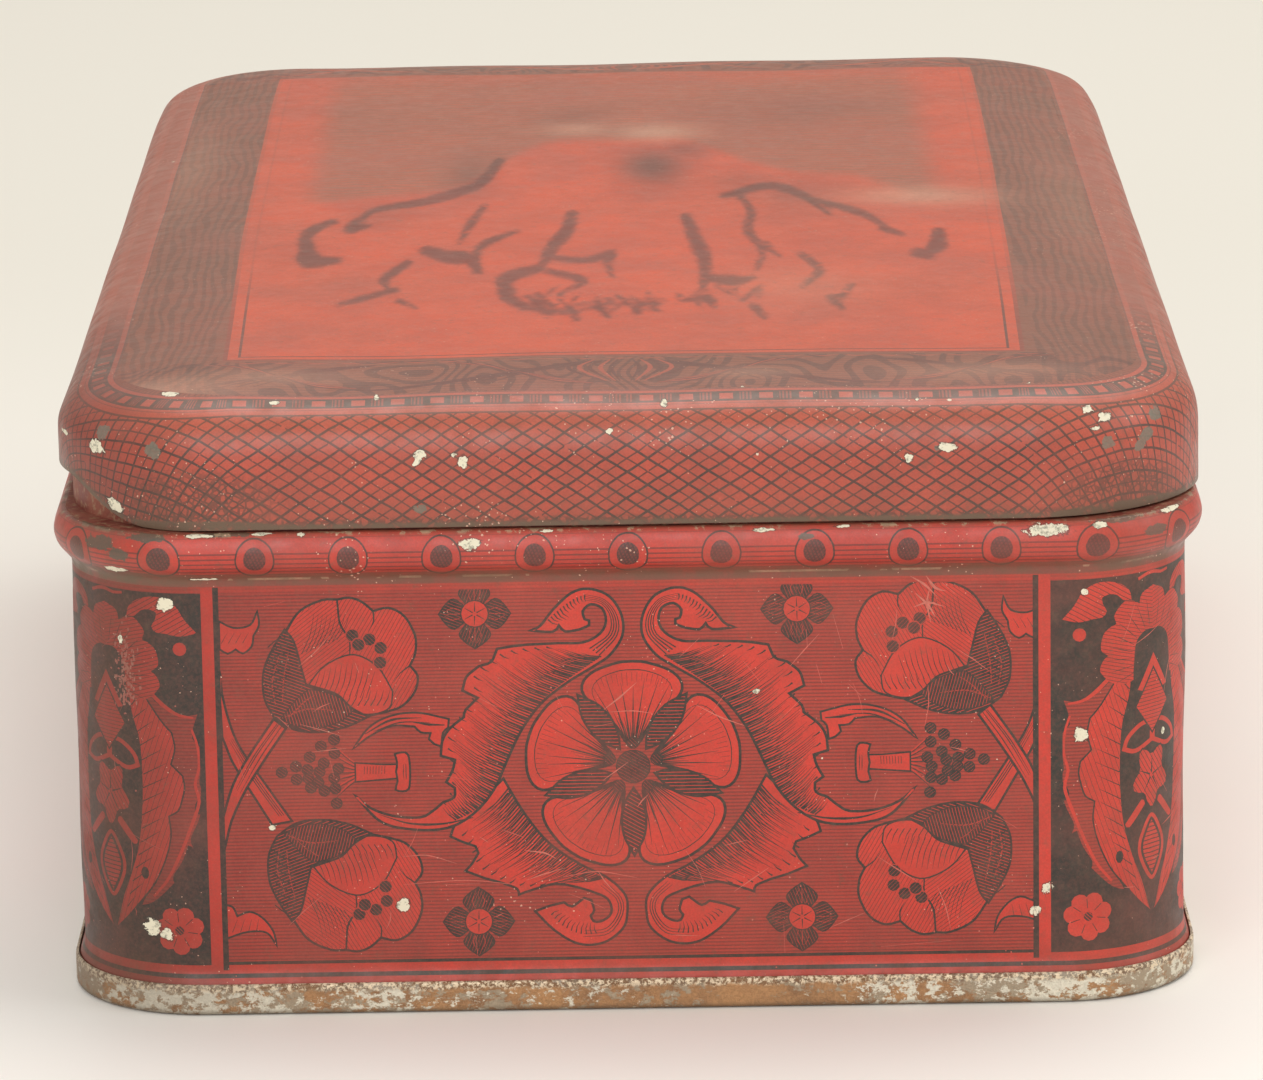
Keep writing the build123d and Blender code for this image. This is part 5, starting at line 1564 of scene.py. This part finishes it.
def mat_bead():
    """Rolled bead: roundels and fine lines."""
    N = Nodes("litho_red_bead")
    s, z, t = N.xyz(N.attr("st").outputs["Vector"])
    per = L_BODY / 64.0
    x = N.mul(N.sub(N.frac(N.add(N.mul(s, 1 / per), 0.5)), 0.5), per)
    xe = N.mul(x, N.add(1.0, N.mul(t, 0.015)))
    e = N.math("SQRT", N.add(N.mul(xe, xe), N.mul(N.mul(t, 0.86), N.mul(t, 0.86))))
    e = N.add(e, N.mul(N.sub(N.noise(N.mm(), 0.7, 2.0), 0.5), 0.16))
    ring_l = N.mul(N.gt(e, 2.06), N.lt(e, 2.26))
    heart = N.lt(e, 1.26)
    hl = N.lt(N.frac(N.add(N.mul(N.add(x, N.mul(t, 0.4)), 2.4), 0.0)), 0.5)
    cross = N.lt(N.frac(N.mul(N.sub(x, t), 2.1)), 0.4)
    inside = N.lt(e, 2.2)
    low = N.mul(N.lt(t, 0.9), N.gt(t, -2.3))
    lines = N.mul(N.mul(N.lt(N.frac(N.mul(t, 1 / 0.60)), 0.34), low), N.sub(1.0, inside))
    up = N.mul(N.mul(N.lt(N.frac(N.mul(t, 1 / 0.62)), 0.2), N.gt(t, 2.4)), 0.5)
    base = N.mix(N.ramp(N.noise(N.mm(), 0.2, 4.0), 0.3, 0.7), lin(196, 58, 44), lin(176, 55, 43))
    # painted shade: the lower half of the bead darker towards the groove below it
    base = N.mix(N.mul(N.ramp(t, -0.2, -2.4), 0.28), base, lin(110, 46, 40))
    base = N.mix(N.mul(N.mx(lines, up), 0.72), base, lin(92, 42, 38))
    base = N.mix(heart, base, lin(112, 50, 44))
    base = N.mix(N.mul(heart, N.mul(N.mx(hl, cross), 0.62)), base, C_DARK)
    base = N.mix(N.mul(ring_l, 0.9), base, C_DARK)
    # the shaded groove under the bead and the worn line in it
    groove = N.mul(N.lt(z, 51.6), N.gt(z, 50.0))
    base = N.mix(N.mul(groove, 0.45), base, C_BROWN)
    pale = N.mul(N.mul(N.lt(z, 51.05), N.gt(z, 50.75)), N.gt(N.noise(N.mm(1, 1, 0.3), 0.10, 3.0), 0.55))
    base = N.mix(N.mul(pale, 0.7), base, lin(206, 164, 132))
    fx, fy, grey = N.xyz(N.attr("fl").outputs["Vector"])
    gf = N.add(grey, N.mul(N.sub(N.noise(N.mm(), 0.8, 4.0, 0.7), 0.5), 1.5))
    base = N.mix(N.mul(N.gt(gf, 0.28), 0.9), base, lin(78, 80, 68))
    edge = N.mul(N.ramp(t, 2.5, 3.1), N.gt(N.noise(N.mm(1, 1, 1), 0.5, 5.0, 0.75), 0.545))
    base = N.mix(N.mul(edge, 0.85), base, lin(196, 174, 140))
    chip = N.attr("chip").outputs["Fac"]
    # darker towards the top of the bead, where it meets the lid
    grime_shade_sky = N.add(N.mul(N.attr("grime_shade_sky").outputs["Fac"], 0.75), N.ramp(t, 2.2, 3.4, 0.0, 0.6))
    col, r, h = wear(N, base, chip, grime_shade_sky, 1.0, 0.36)
    return N.finish(col, r, N.bump(h, 0.00014, 0.6), spec=0.5)


def mat_ledge():
    N = Nodes("litho_ledge_worn")
    n = N.noise(N.mm(), 0.3, 5.0, 0.65)
    base = N.mix(N.ramp(n, 0.35, 0.65), lin(122, 56, 46), lin(146, 84, 66))
    base = N.mix(N.ramp(N.noise(N.mm(), 1.1, 4.0), 0.5, 0.7), base, lin(158, 124, 96))
    return N.finish(base, N.ramp(n, 0.3, 0.7, 0.45, 0.65), N.bump(n, 0.0001, 0.5), spec=0.4)


def mat_inside():
    """Lacquered tinplate inside."""
    N = Nodes("tinplate_inside")
    n = N.noise(N.mm(), 0.05, 4.0, 0.6)
    base = N.mix(N.ramp(n, 0.35, 0.7), lin(196, 182, 150), lin(172, 156, 124))
    sp = N.voro(N.mm(), 0.28)
    rust = N.mul(N.lt(sp, N.ramp(N.noise(N.mm(), 0.05, 3.0), 0.5, 0.8, 0.0, 0.3)), 0.8)
    base = N.mix(rust, base, lin(112, 74, 50))
    return N.finish(base, N.ramp(N.noise(N.mm(), 0.5, 4.0), 0.3, 0.7, 0.26, 0.42), N.bump(n, 0.0003, 0.3), metal=N.sub(0.9, rust), spec=0.5)


def mat_skirt():
    """Lid skirt and shoulder: diamond net, dashed border, maroon zone."""
    N = Nodes("litho_red_net")
    s, tb, T = N.xyz(N.attr("st").outputs["Vector"])
    fx, fy, grey = N.xyz(N.attr("fl").outputs["Vector"])
    wob = N.mul(N.sub(N.noise(N.mm(), 0.22, 2.0), 0.5), 0.16)

    def tri(v):
        return N.math("ABSOLUTE", N.sub(N.frac(v), 0.5))
    a = N.add(N.add(N.mul(fx, 1 / 4.53), N.mul(fy, 1 / 3.03)), wob)
    c = N.add(N.sub(N.mul(fx, 1 / 4.53), N.mul(fy, 1 / 3.03)), wob)
    bold = N.mx(N.gt(tri(a), 0.446), N.gt(tri(c), 0.446))
    thin = N.mx(N.lt(tri(a), 0.036), N.lt(tri(c), 0.036))
    broken = N.gt(N.noise(N.mm(), 0.8, 3.0, 0.7), 0.36)
    net = N.mx(N.mul(bold, 0.92), N.mul(N.mul(thin, broken), 0.8))
    net = N.mul(net, N.lt(tb, 13.15))
    base = N.mix(N.ramp(N.noise(N.mm(), 0.2, 4.0), 0.3, 0.7), C_NET, C_NET2)
    # dashed border
    line1 = N.mul(N.gt(tb, 13.15), N.lt(tb, 13.42))
    line2 = N.mul(N.gt(tb, 14.15), N.lt(tb, 14.28))
    band = N.mul(N.gt(tb, 14.62), N.lt(tb, 16.95))
    u = N.frac(N.add(N.mul(s, 1 / 4.4), 0.5 - 2.3 / 4.4))
    inb = N.mul(N.gt(tb, 15.05), N.lt(tb, 16.45))
    dash = N.mul(N.lt(N.math("ABSOLUTE", N.sub(u, 0.5)), 0.172), inb)
    u2 = N.frac(N.add(u, 0.5))
    hb = N.mul(N.lt(N.math("ABSOLUTE", N.sub(u2, 0.5)), 0.165), N.mul(N.gt(tb, 14.9), N.lt(tb, 16.7)))
    hb = N.mul(hb, N.gt(N.frac(N.mul(u2, 11.0)), 0.45))
    worn_off = N.ramp(fy, -94.0, -48.0, 1.0, 0.18)
    light = N.mul(N.mx(dash, N.mul(hb, 0.55)), worn_off)
    dark = N.mul(N.mx(N.mx(N.mul(line1, 0.85), N.mul(line2, 0.5)), N.mul(band, N.sub(1.0, light))), worn_off)
    line3 = N.mul(N.gt(tb, 17.6), N.lt(tb, 17.8))
    maroon = N.gt(tb, 17.8)
    base = N.mix(N.mul(N.mul(N.gt(tb, 13.3), N.sub(1.0, worn_off)), 0.85), base, lin(158, 80, 62))
    base = N.mix(maroon, base, C_MAROON)
    weave = N.lt(N.frac(N.add(N.mul(s, 1 / 0.9), N.mul(N.sub(N.noise(N.mm(), 0.2, 3.0), 0.5), 4.0))), 0.4)
    base = N.mix(N.mul(N.mul(maroon, weave), 0.35), base, C_DARK2)
    ink = N.mx(N.mx(net, dark), N.mul(line3, 0.7))
    base = N.mix(ink, base, N.mix(N.ramp(N.noise(N.mm(), 0.8, 3.0), 0.3, 0.7), C_DARK, C_DARK2))
    # painted highlight: the skirt paler towards its rounded shoulder
    base = N.mix(N.mul(N.mul(N.ramp(T, 7.5, 13.0), N.sub(1.0, maroon)), 0.15), base, lin(206, 152, 124))
    # painted shade on the front left corner of the skirt
    base = N.mix(N.mul(N.ramp(fx, -46.0, -64.0, 0.0, 0.42), N.ramp(fy, -40.0, -80.0)), base, lin(46, 28, 24))
    # grey worn patches and the crackled corners
    gf = N.add(grey, N.mul(N.sub(N.noise(N.mm(), 0.8, 4.0, 0.7), 0.5), 1.5))
    base = N.mix(N.mul(N.gt(gf, 0.28), 0.9), base, lin(112, 112, 98))
    chip = N.attr("chip").outputs["Fac"]
    gr = N.attr("grime_shade_sky").outputs["Fac"]
    ck = N.math("MULTIPLY", N.mn(gr, 1.0), N.lt(N.voro(N.mm(1, 1, 1), 1.15, "DISTANCE_TO_EDGE"), 0.12), clamp=True)
    base = N.mix(N.mul(ck, 0.70), base, lin(74, 48, 40))
    # dark lower lip: worn raw edge with painted shadow
    lip = N.ramp(gr, 1.05, 1.7)
    col, r, h = wear(N, base, chip, N.add(N.add(N.mul(N.mn(gr, 1.0), 0.18), N.mul(lip, 0.85)), N.ramp(T, 5.0, 0.5, 0.0, 0.20)), 0.95, 0.36)
    h = N.sub(h, N.mul(ck, 0.3))
    return N.finish(col, r, N.bump(h, 0.00014, 0.6), spec=0.5)


def mat_top():
    """Drawn lid top."""
    N = Nodes("litho_red_top")
    x, y, d = N.xyz(N.attr("st").outputs["Vector"])
    dark, rule, tone = N.xyz(N.attr("ink").outputs["Vector"])
    base = N.mix(N.ramp(N.noise(N.mm(), 0.12, 4.0), 0.3, 0.7), C_TOP, C_TOP2)
    neg = N.math("MULTIPLY", tone, -1.0, clamp=True)
    pos = N.math("MAXIMUM", tone, 0.0)
    mass, painted_sheen, limb = N.xyz(N.attr("fl").outputs["Vector"])
    sky = N.attr("grime_shade_sky").outputs["Fac"]
    warp = N.mul(N.sub(N.noise(N.mm(), 0.15, 3.0), 0.5), 2.5)
    wv = N.lt(N.frac(N.add(N.mul(y, 1 / 0.8), warp)), 0.45)
    zone = N.gt(neg, 0.5)
    side = N.mul(zone, N.gt(N.math("ABSOLUTE", x), 46.2))
    ribs = N.lt(N.frac(N.add(N.mul(x, 1 / 1.15), N.mul(N.sub(N.noise(N.mm(1, 0.25, 1), 0.12, 3.0), 0.5), 5.0))), 0.45)
    base = N.mix(zone, base, C_MAROON)
    base = N.mix(N.mul(N.mul(zone, wv), 0.24), base, C_DARK2)
    base = N.mix(N.mul(N.mul(side, ribs), 0.30), base, C_DARK2)
    swirl = N.noise(N.mm(1, 0.62, 1), 0.085, 1.0, 0.4)
    sw = N.lt(N.frac(N.mul(swirl, 17.0)), 0.42)
    fb = N.mul(zone, N.gt(N.math("ABSOLUTE", y), 91.8))
    base = N.mix(N.mul(N.mul(fb, sw), 0.50), base, lin(70, 50, 44))
    base = N.mix(N.math("MULTIPLY", N.sub(neg, N.mul(zone, neg)), 1.6, clamp=True), base, lin(158, 84, 64))
    skyh = N.mul(sky, N.sub(1.0, N.mx(zone, 0.0)))
    skyl = N.lt(N.frac(N.add(N.mul(y, 1 / 1.6), warp)), 0.5)
    base = N.mix(N.mul(skyh, N.add(0.46, N.mul(skyl, 0.20))), base, lin(132, 96, 74))
    base = N.mix(N.mul(mass, N.sub(1.0, zone)), base, lin(70, 54, 44))
    lf = N.ramp(N.add(limb, N.mul(N.sub(N.noise(N.mm(1, 0.5, 1), 0.5, 3.0, 0.6), 0.5), 0.55)), 0.10, 1.05)
    base = N.mix(N.mul(lf, 0.74), base, lin(66, 36, 28))
    soft = N.mul(N.sub(1.0, pos), N.ramp(y, -78.0, -30.0, 1.0, 0.16))
    base = N.mix(N.mul(N.mul(dark, soft), 0.92), base, lin(70, 58, 50))
    # painted sheen over the top
    base = N.mix(painted_sheen, base, lin(212, 160, 132))
    chip = N.attr("chip").outputs["Fac"]
    gn = N.ramp(N.noise(N.mm(), 0.035, 4.0, 0.6), 0.35, 0.75, 0.02, 0.24)
    col, r, h = wear(N, base, chip, gn, 0.6, 0.40)
    return N.finish(col, r, N.bump(h, 0.00012, 0.5), spec=0.5)


def mat_gold():
    """Worn gold lacquer on the base rim: bare tin, pale scuffs, bright speckled upper edge."""
    N = Nodes("gold_lacquer_worn")
    o = N.mm()
    x, y, z = N.xyz(o)
    a = N.noise(o, 0.16, 5.0, 0.65)
    b = N.noise(N.mm(1, 1, 1.8), 0.55, 5.0, 0.7)
    ends = N.ramp(N.math("ABSOLUTE", N.add(x, -6.0)), 14.0, 52.0)
    base = N.mix(N.ramp(a, 0.35, 0.65), lin(184, 138, 94), lin(146, 108, 76))
    worn = N.ramp(N.add(N.add(b, N.mul(N.sub(a, 0.5), 0.9)), N.mul(N.sub(ends, 0.5), 0.08)), 0.49, 0.59)
    base = N.mix(worn, base, lin(164, 146, 122))
    pale = N.ramp(N.add(N.noise(N.mm(1, 1, 1.5), 0.75, 5.0, 0.75), N.add(N.mul(N.sub(N.noise(o, 0.045, 3.0), 0.5), 0.8), N.mul(N.sub(ends, 0.5), 0.12))), 0.52, 0.59)
    base = N.mix(pale, base, lin(222, 214, 194))
    top = N.ramp(N.add(z, N.mul(N.sub(N.noise(N.mm(1, 1, 0.2), 0.9, 4.0, 0.7), 0.5), 1.5)), 2.5, 3.0)
    spk = N.ramp(N.noise(o, 1.9, 4.0, 0.8), 0.44, 0.55)
    base = N.mix(N.mul(top, spk), base, lin(226, 206, 176))
    base = N.mix(N.mul(top, N.mul(N.sub(1.0, spk), 0.7)), base, lin(104, 76, 54))
    # painted shade: the rim darker towards the left
    base = N.mix(N.mul(N.ramp(x, -30.0, -60.0), 0.42), base, lin(96, 70, 50))
    # darker towards the bottom edge
    bottom_darkening = N.ramp(z, 0.9, 0.1)
    base = N.mix(N.mul(bottom_darkening, 0.55), base, lin(92, 74, 56))
    rr = N.ramp(b, 0.3, 0.7, 0.36, 0.62)
    return N.finish(base, rr, N.bump(N.add(b, N.mul(spk, 0.4)), 0.00018, 0.7), metal=N.mul(N.sub(1.0, N.mx(worn, pale)), 0.30), spec=0.5)


def mat_plate(name, c1, c2, rough, metal):
    N = Nodes(name)
    n = N.noise(N.mm(), 0.5, 5.0, 0.65)
    base = N.mix(N.ramp(n, 0.35, 0.7), c1, c2)
    return N.finish(base, N.ramp(N.noise(N.mm(), 1.5, 4.0), 0.3, 0.7, rough, rough + 0.2), N.bump(n, 0.00005, 0.4), metal=metal)


PRINT, BEAD, LEDGE, INSIDE = mat_print(), mat_bead(), mat_ledge(), mat_inside()
SKIRT, TOP, GOLD = mat_skirt(), mat_top(), mat_gold()
PLATE = mat_plate("tinplate_bare", lin(168, 160, 144), lin(120, 108, 92), 0.3, 0.9)
WIRE = mat_plate("steel_wire", lin(132, 126, 118), lin(98, 80, 62), 0.3, 0.95)

body = build_body([PRINT, BEAD, LEDGE, INSIDE])
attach(body, "tin_body")
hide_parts("body_wall")
lid = build_lid([SKIRT, TOP, INSIDE])
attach(lid, "lid")
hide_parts("lid_shell")


def dress(node, mat):
    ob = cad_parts[node]
    ob.data.materials.clear()
    ob.data.materials.append(mat)


dress("base_pan", GOLD)
for side in ("left", "right"):
    dress("body_hinge_strap_" + side, PLATE)
    dress("lid_hinge_tab_" + side, PLATE)
    dress("hinge_pin_" + side, WIRE)

# ---------------------------------------------------------------- floor, light, camera
def floor():
    bpy.ops.mesh.primitive_grid_add(x_subdivisions=60, y_subdivisions=60, size=6.0, location=(0, 0, 0))
    ob = bpy.context.object
    ob.name = "floor"
    me = ob.data
    co = np.zeros(len(me.vertices) * 3)
    me.vertices.foreach_get("co", co)
    co = co.reshape(-1, 3)
    r = np.hypot(co[:, 0], co[:, 1])
    co[:, 2] = -0.0001 + 0.7 * smooth01(co[:, 1], 1.3, 3.4) * 1.6
    me.vertices.foreach_set("co", co.ravel())
    for p in me.polygons:
        p.use_smooth = True
    N = Nodes("floor_pale")
    n = N.noise(N.mm(), 0.004, 4.0, 0.5)
    fx, fy, fz = N.xyz(N.mm(0.001, 0.001, 0.001))
    near = N.mix(N.ramp(n, 0.3, 0.7), lin(252, 248, 243), lin(246, 242, 236))
    # painted shade: the floor darker towards the back sweep
    base = N.mix(N.ramp(fy, -0.18, 0.35), near, lin(222, 217, 207))
    ob.data.materials.append(N.finish(base, 0.6, None, spec=0.25))


floor()


def area_light(name, loc, target, size, power, color=(1, 1, 1)):
    d = bpy.data.lights.new(name, "AREA")
    d.shape = "RECTANGLE"
    d.size, d.size_y = size
    d.energy = power
    d.color = color
    ob = bpy.data.objects.new(name, d)
    ob.location = loc
    ob.rotation_euler = (Vector(target) - Vector(loc)).to_track_quat("-Z", "Y").to_euler()
    bpy.context.scene.collection.objects.link(ob)


area_light("key_overhead", (0.25, 0.55, 1.45), (0, 0.05, 0.03), (1.5, 1.1), 14.0, (1.0, 0.98, 0.94))
area_light("front_fill", (-0.35, -1.9, 0.95), (0, -0.1, 0.03), (1.6, 1.1), 19.5, (1.0, 0.99, 0.97))
area_light("left_fill", (-1.5, -0.3, 0.8), (0, 0, 0.03), (1.0, 0.9), 1.0, (0.98, 0.99, 1.0))
area_light("right_fill", (1.5, -0.4, 0.8), (0, 0, 0.03), (1.0, 0.9), 7.0, (1.0, 0.98, 0.95))

scene = bpy.context.scene
w = scene.world or bpy.data.worlds.new("world")
scene.world = w
w.use_nodes = True
bg = w.node_tree.nodes.get("Background") or w.node_tree.nodes.new("ShaderNodeBackground")
bg.inputs[0].default_value = (0.93, 0.92, 0.885, 1)
bg.inputs[1].default_value = 0.55
scene.view_settings.view_transform = "Standard"

pitch, yaw, roll = math.radians(13.9), -0.00211263, -0.0162243
fwd = Vector((math.sin(yaw) * math.cos(pitch), math.cos(yaw) * math.cos(pitch), -math.sin(pitch)))
right = Vector((math.cos(yaw), -math.sin(yaw), 0))
upv = right.cross(fwd)
r_ = right * math.cos(roll) + upv * math.sin(roll)
u_ = -right * math.sin(roll) + upv * math.cos(roll)
cam_data = bpy.data.cameras.new("camera")
cam_data.lens = 206.31
cam_data.sensor_width = 36.0
cam_data.sensor_fit = "HORIZONTAL"
cam_data.clip_start, cam_data.clip_end = 0.05, 20.0
cam = bpy.data.objects.new("camera", cam_data)
m = Matrix((( r_.x, u_.x, -fwd.x, 0.002081), (r_.y, u_.y, -fwd.y, -0.897976), (r_.z, u_.z, -fwd.z, 0.249513), (0, 0, 0, 1)))
cam.matrix_world = m
scene.collection.objects.link(cam)
scene.camera = cam
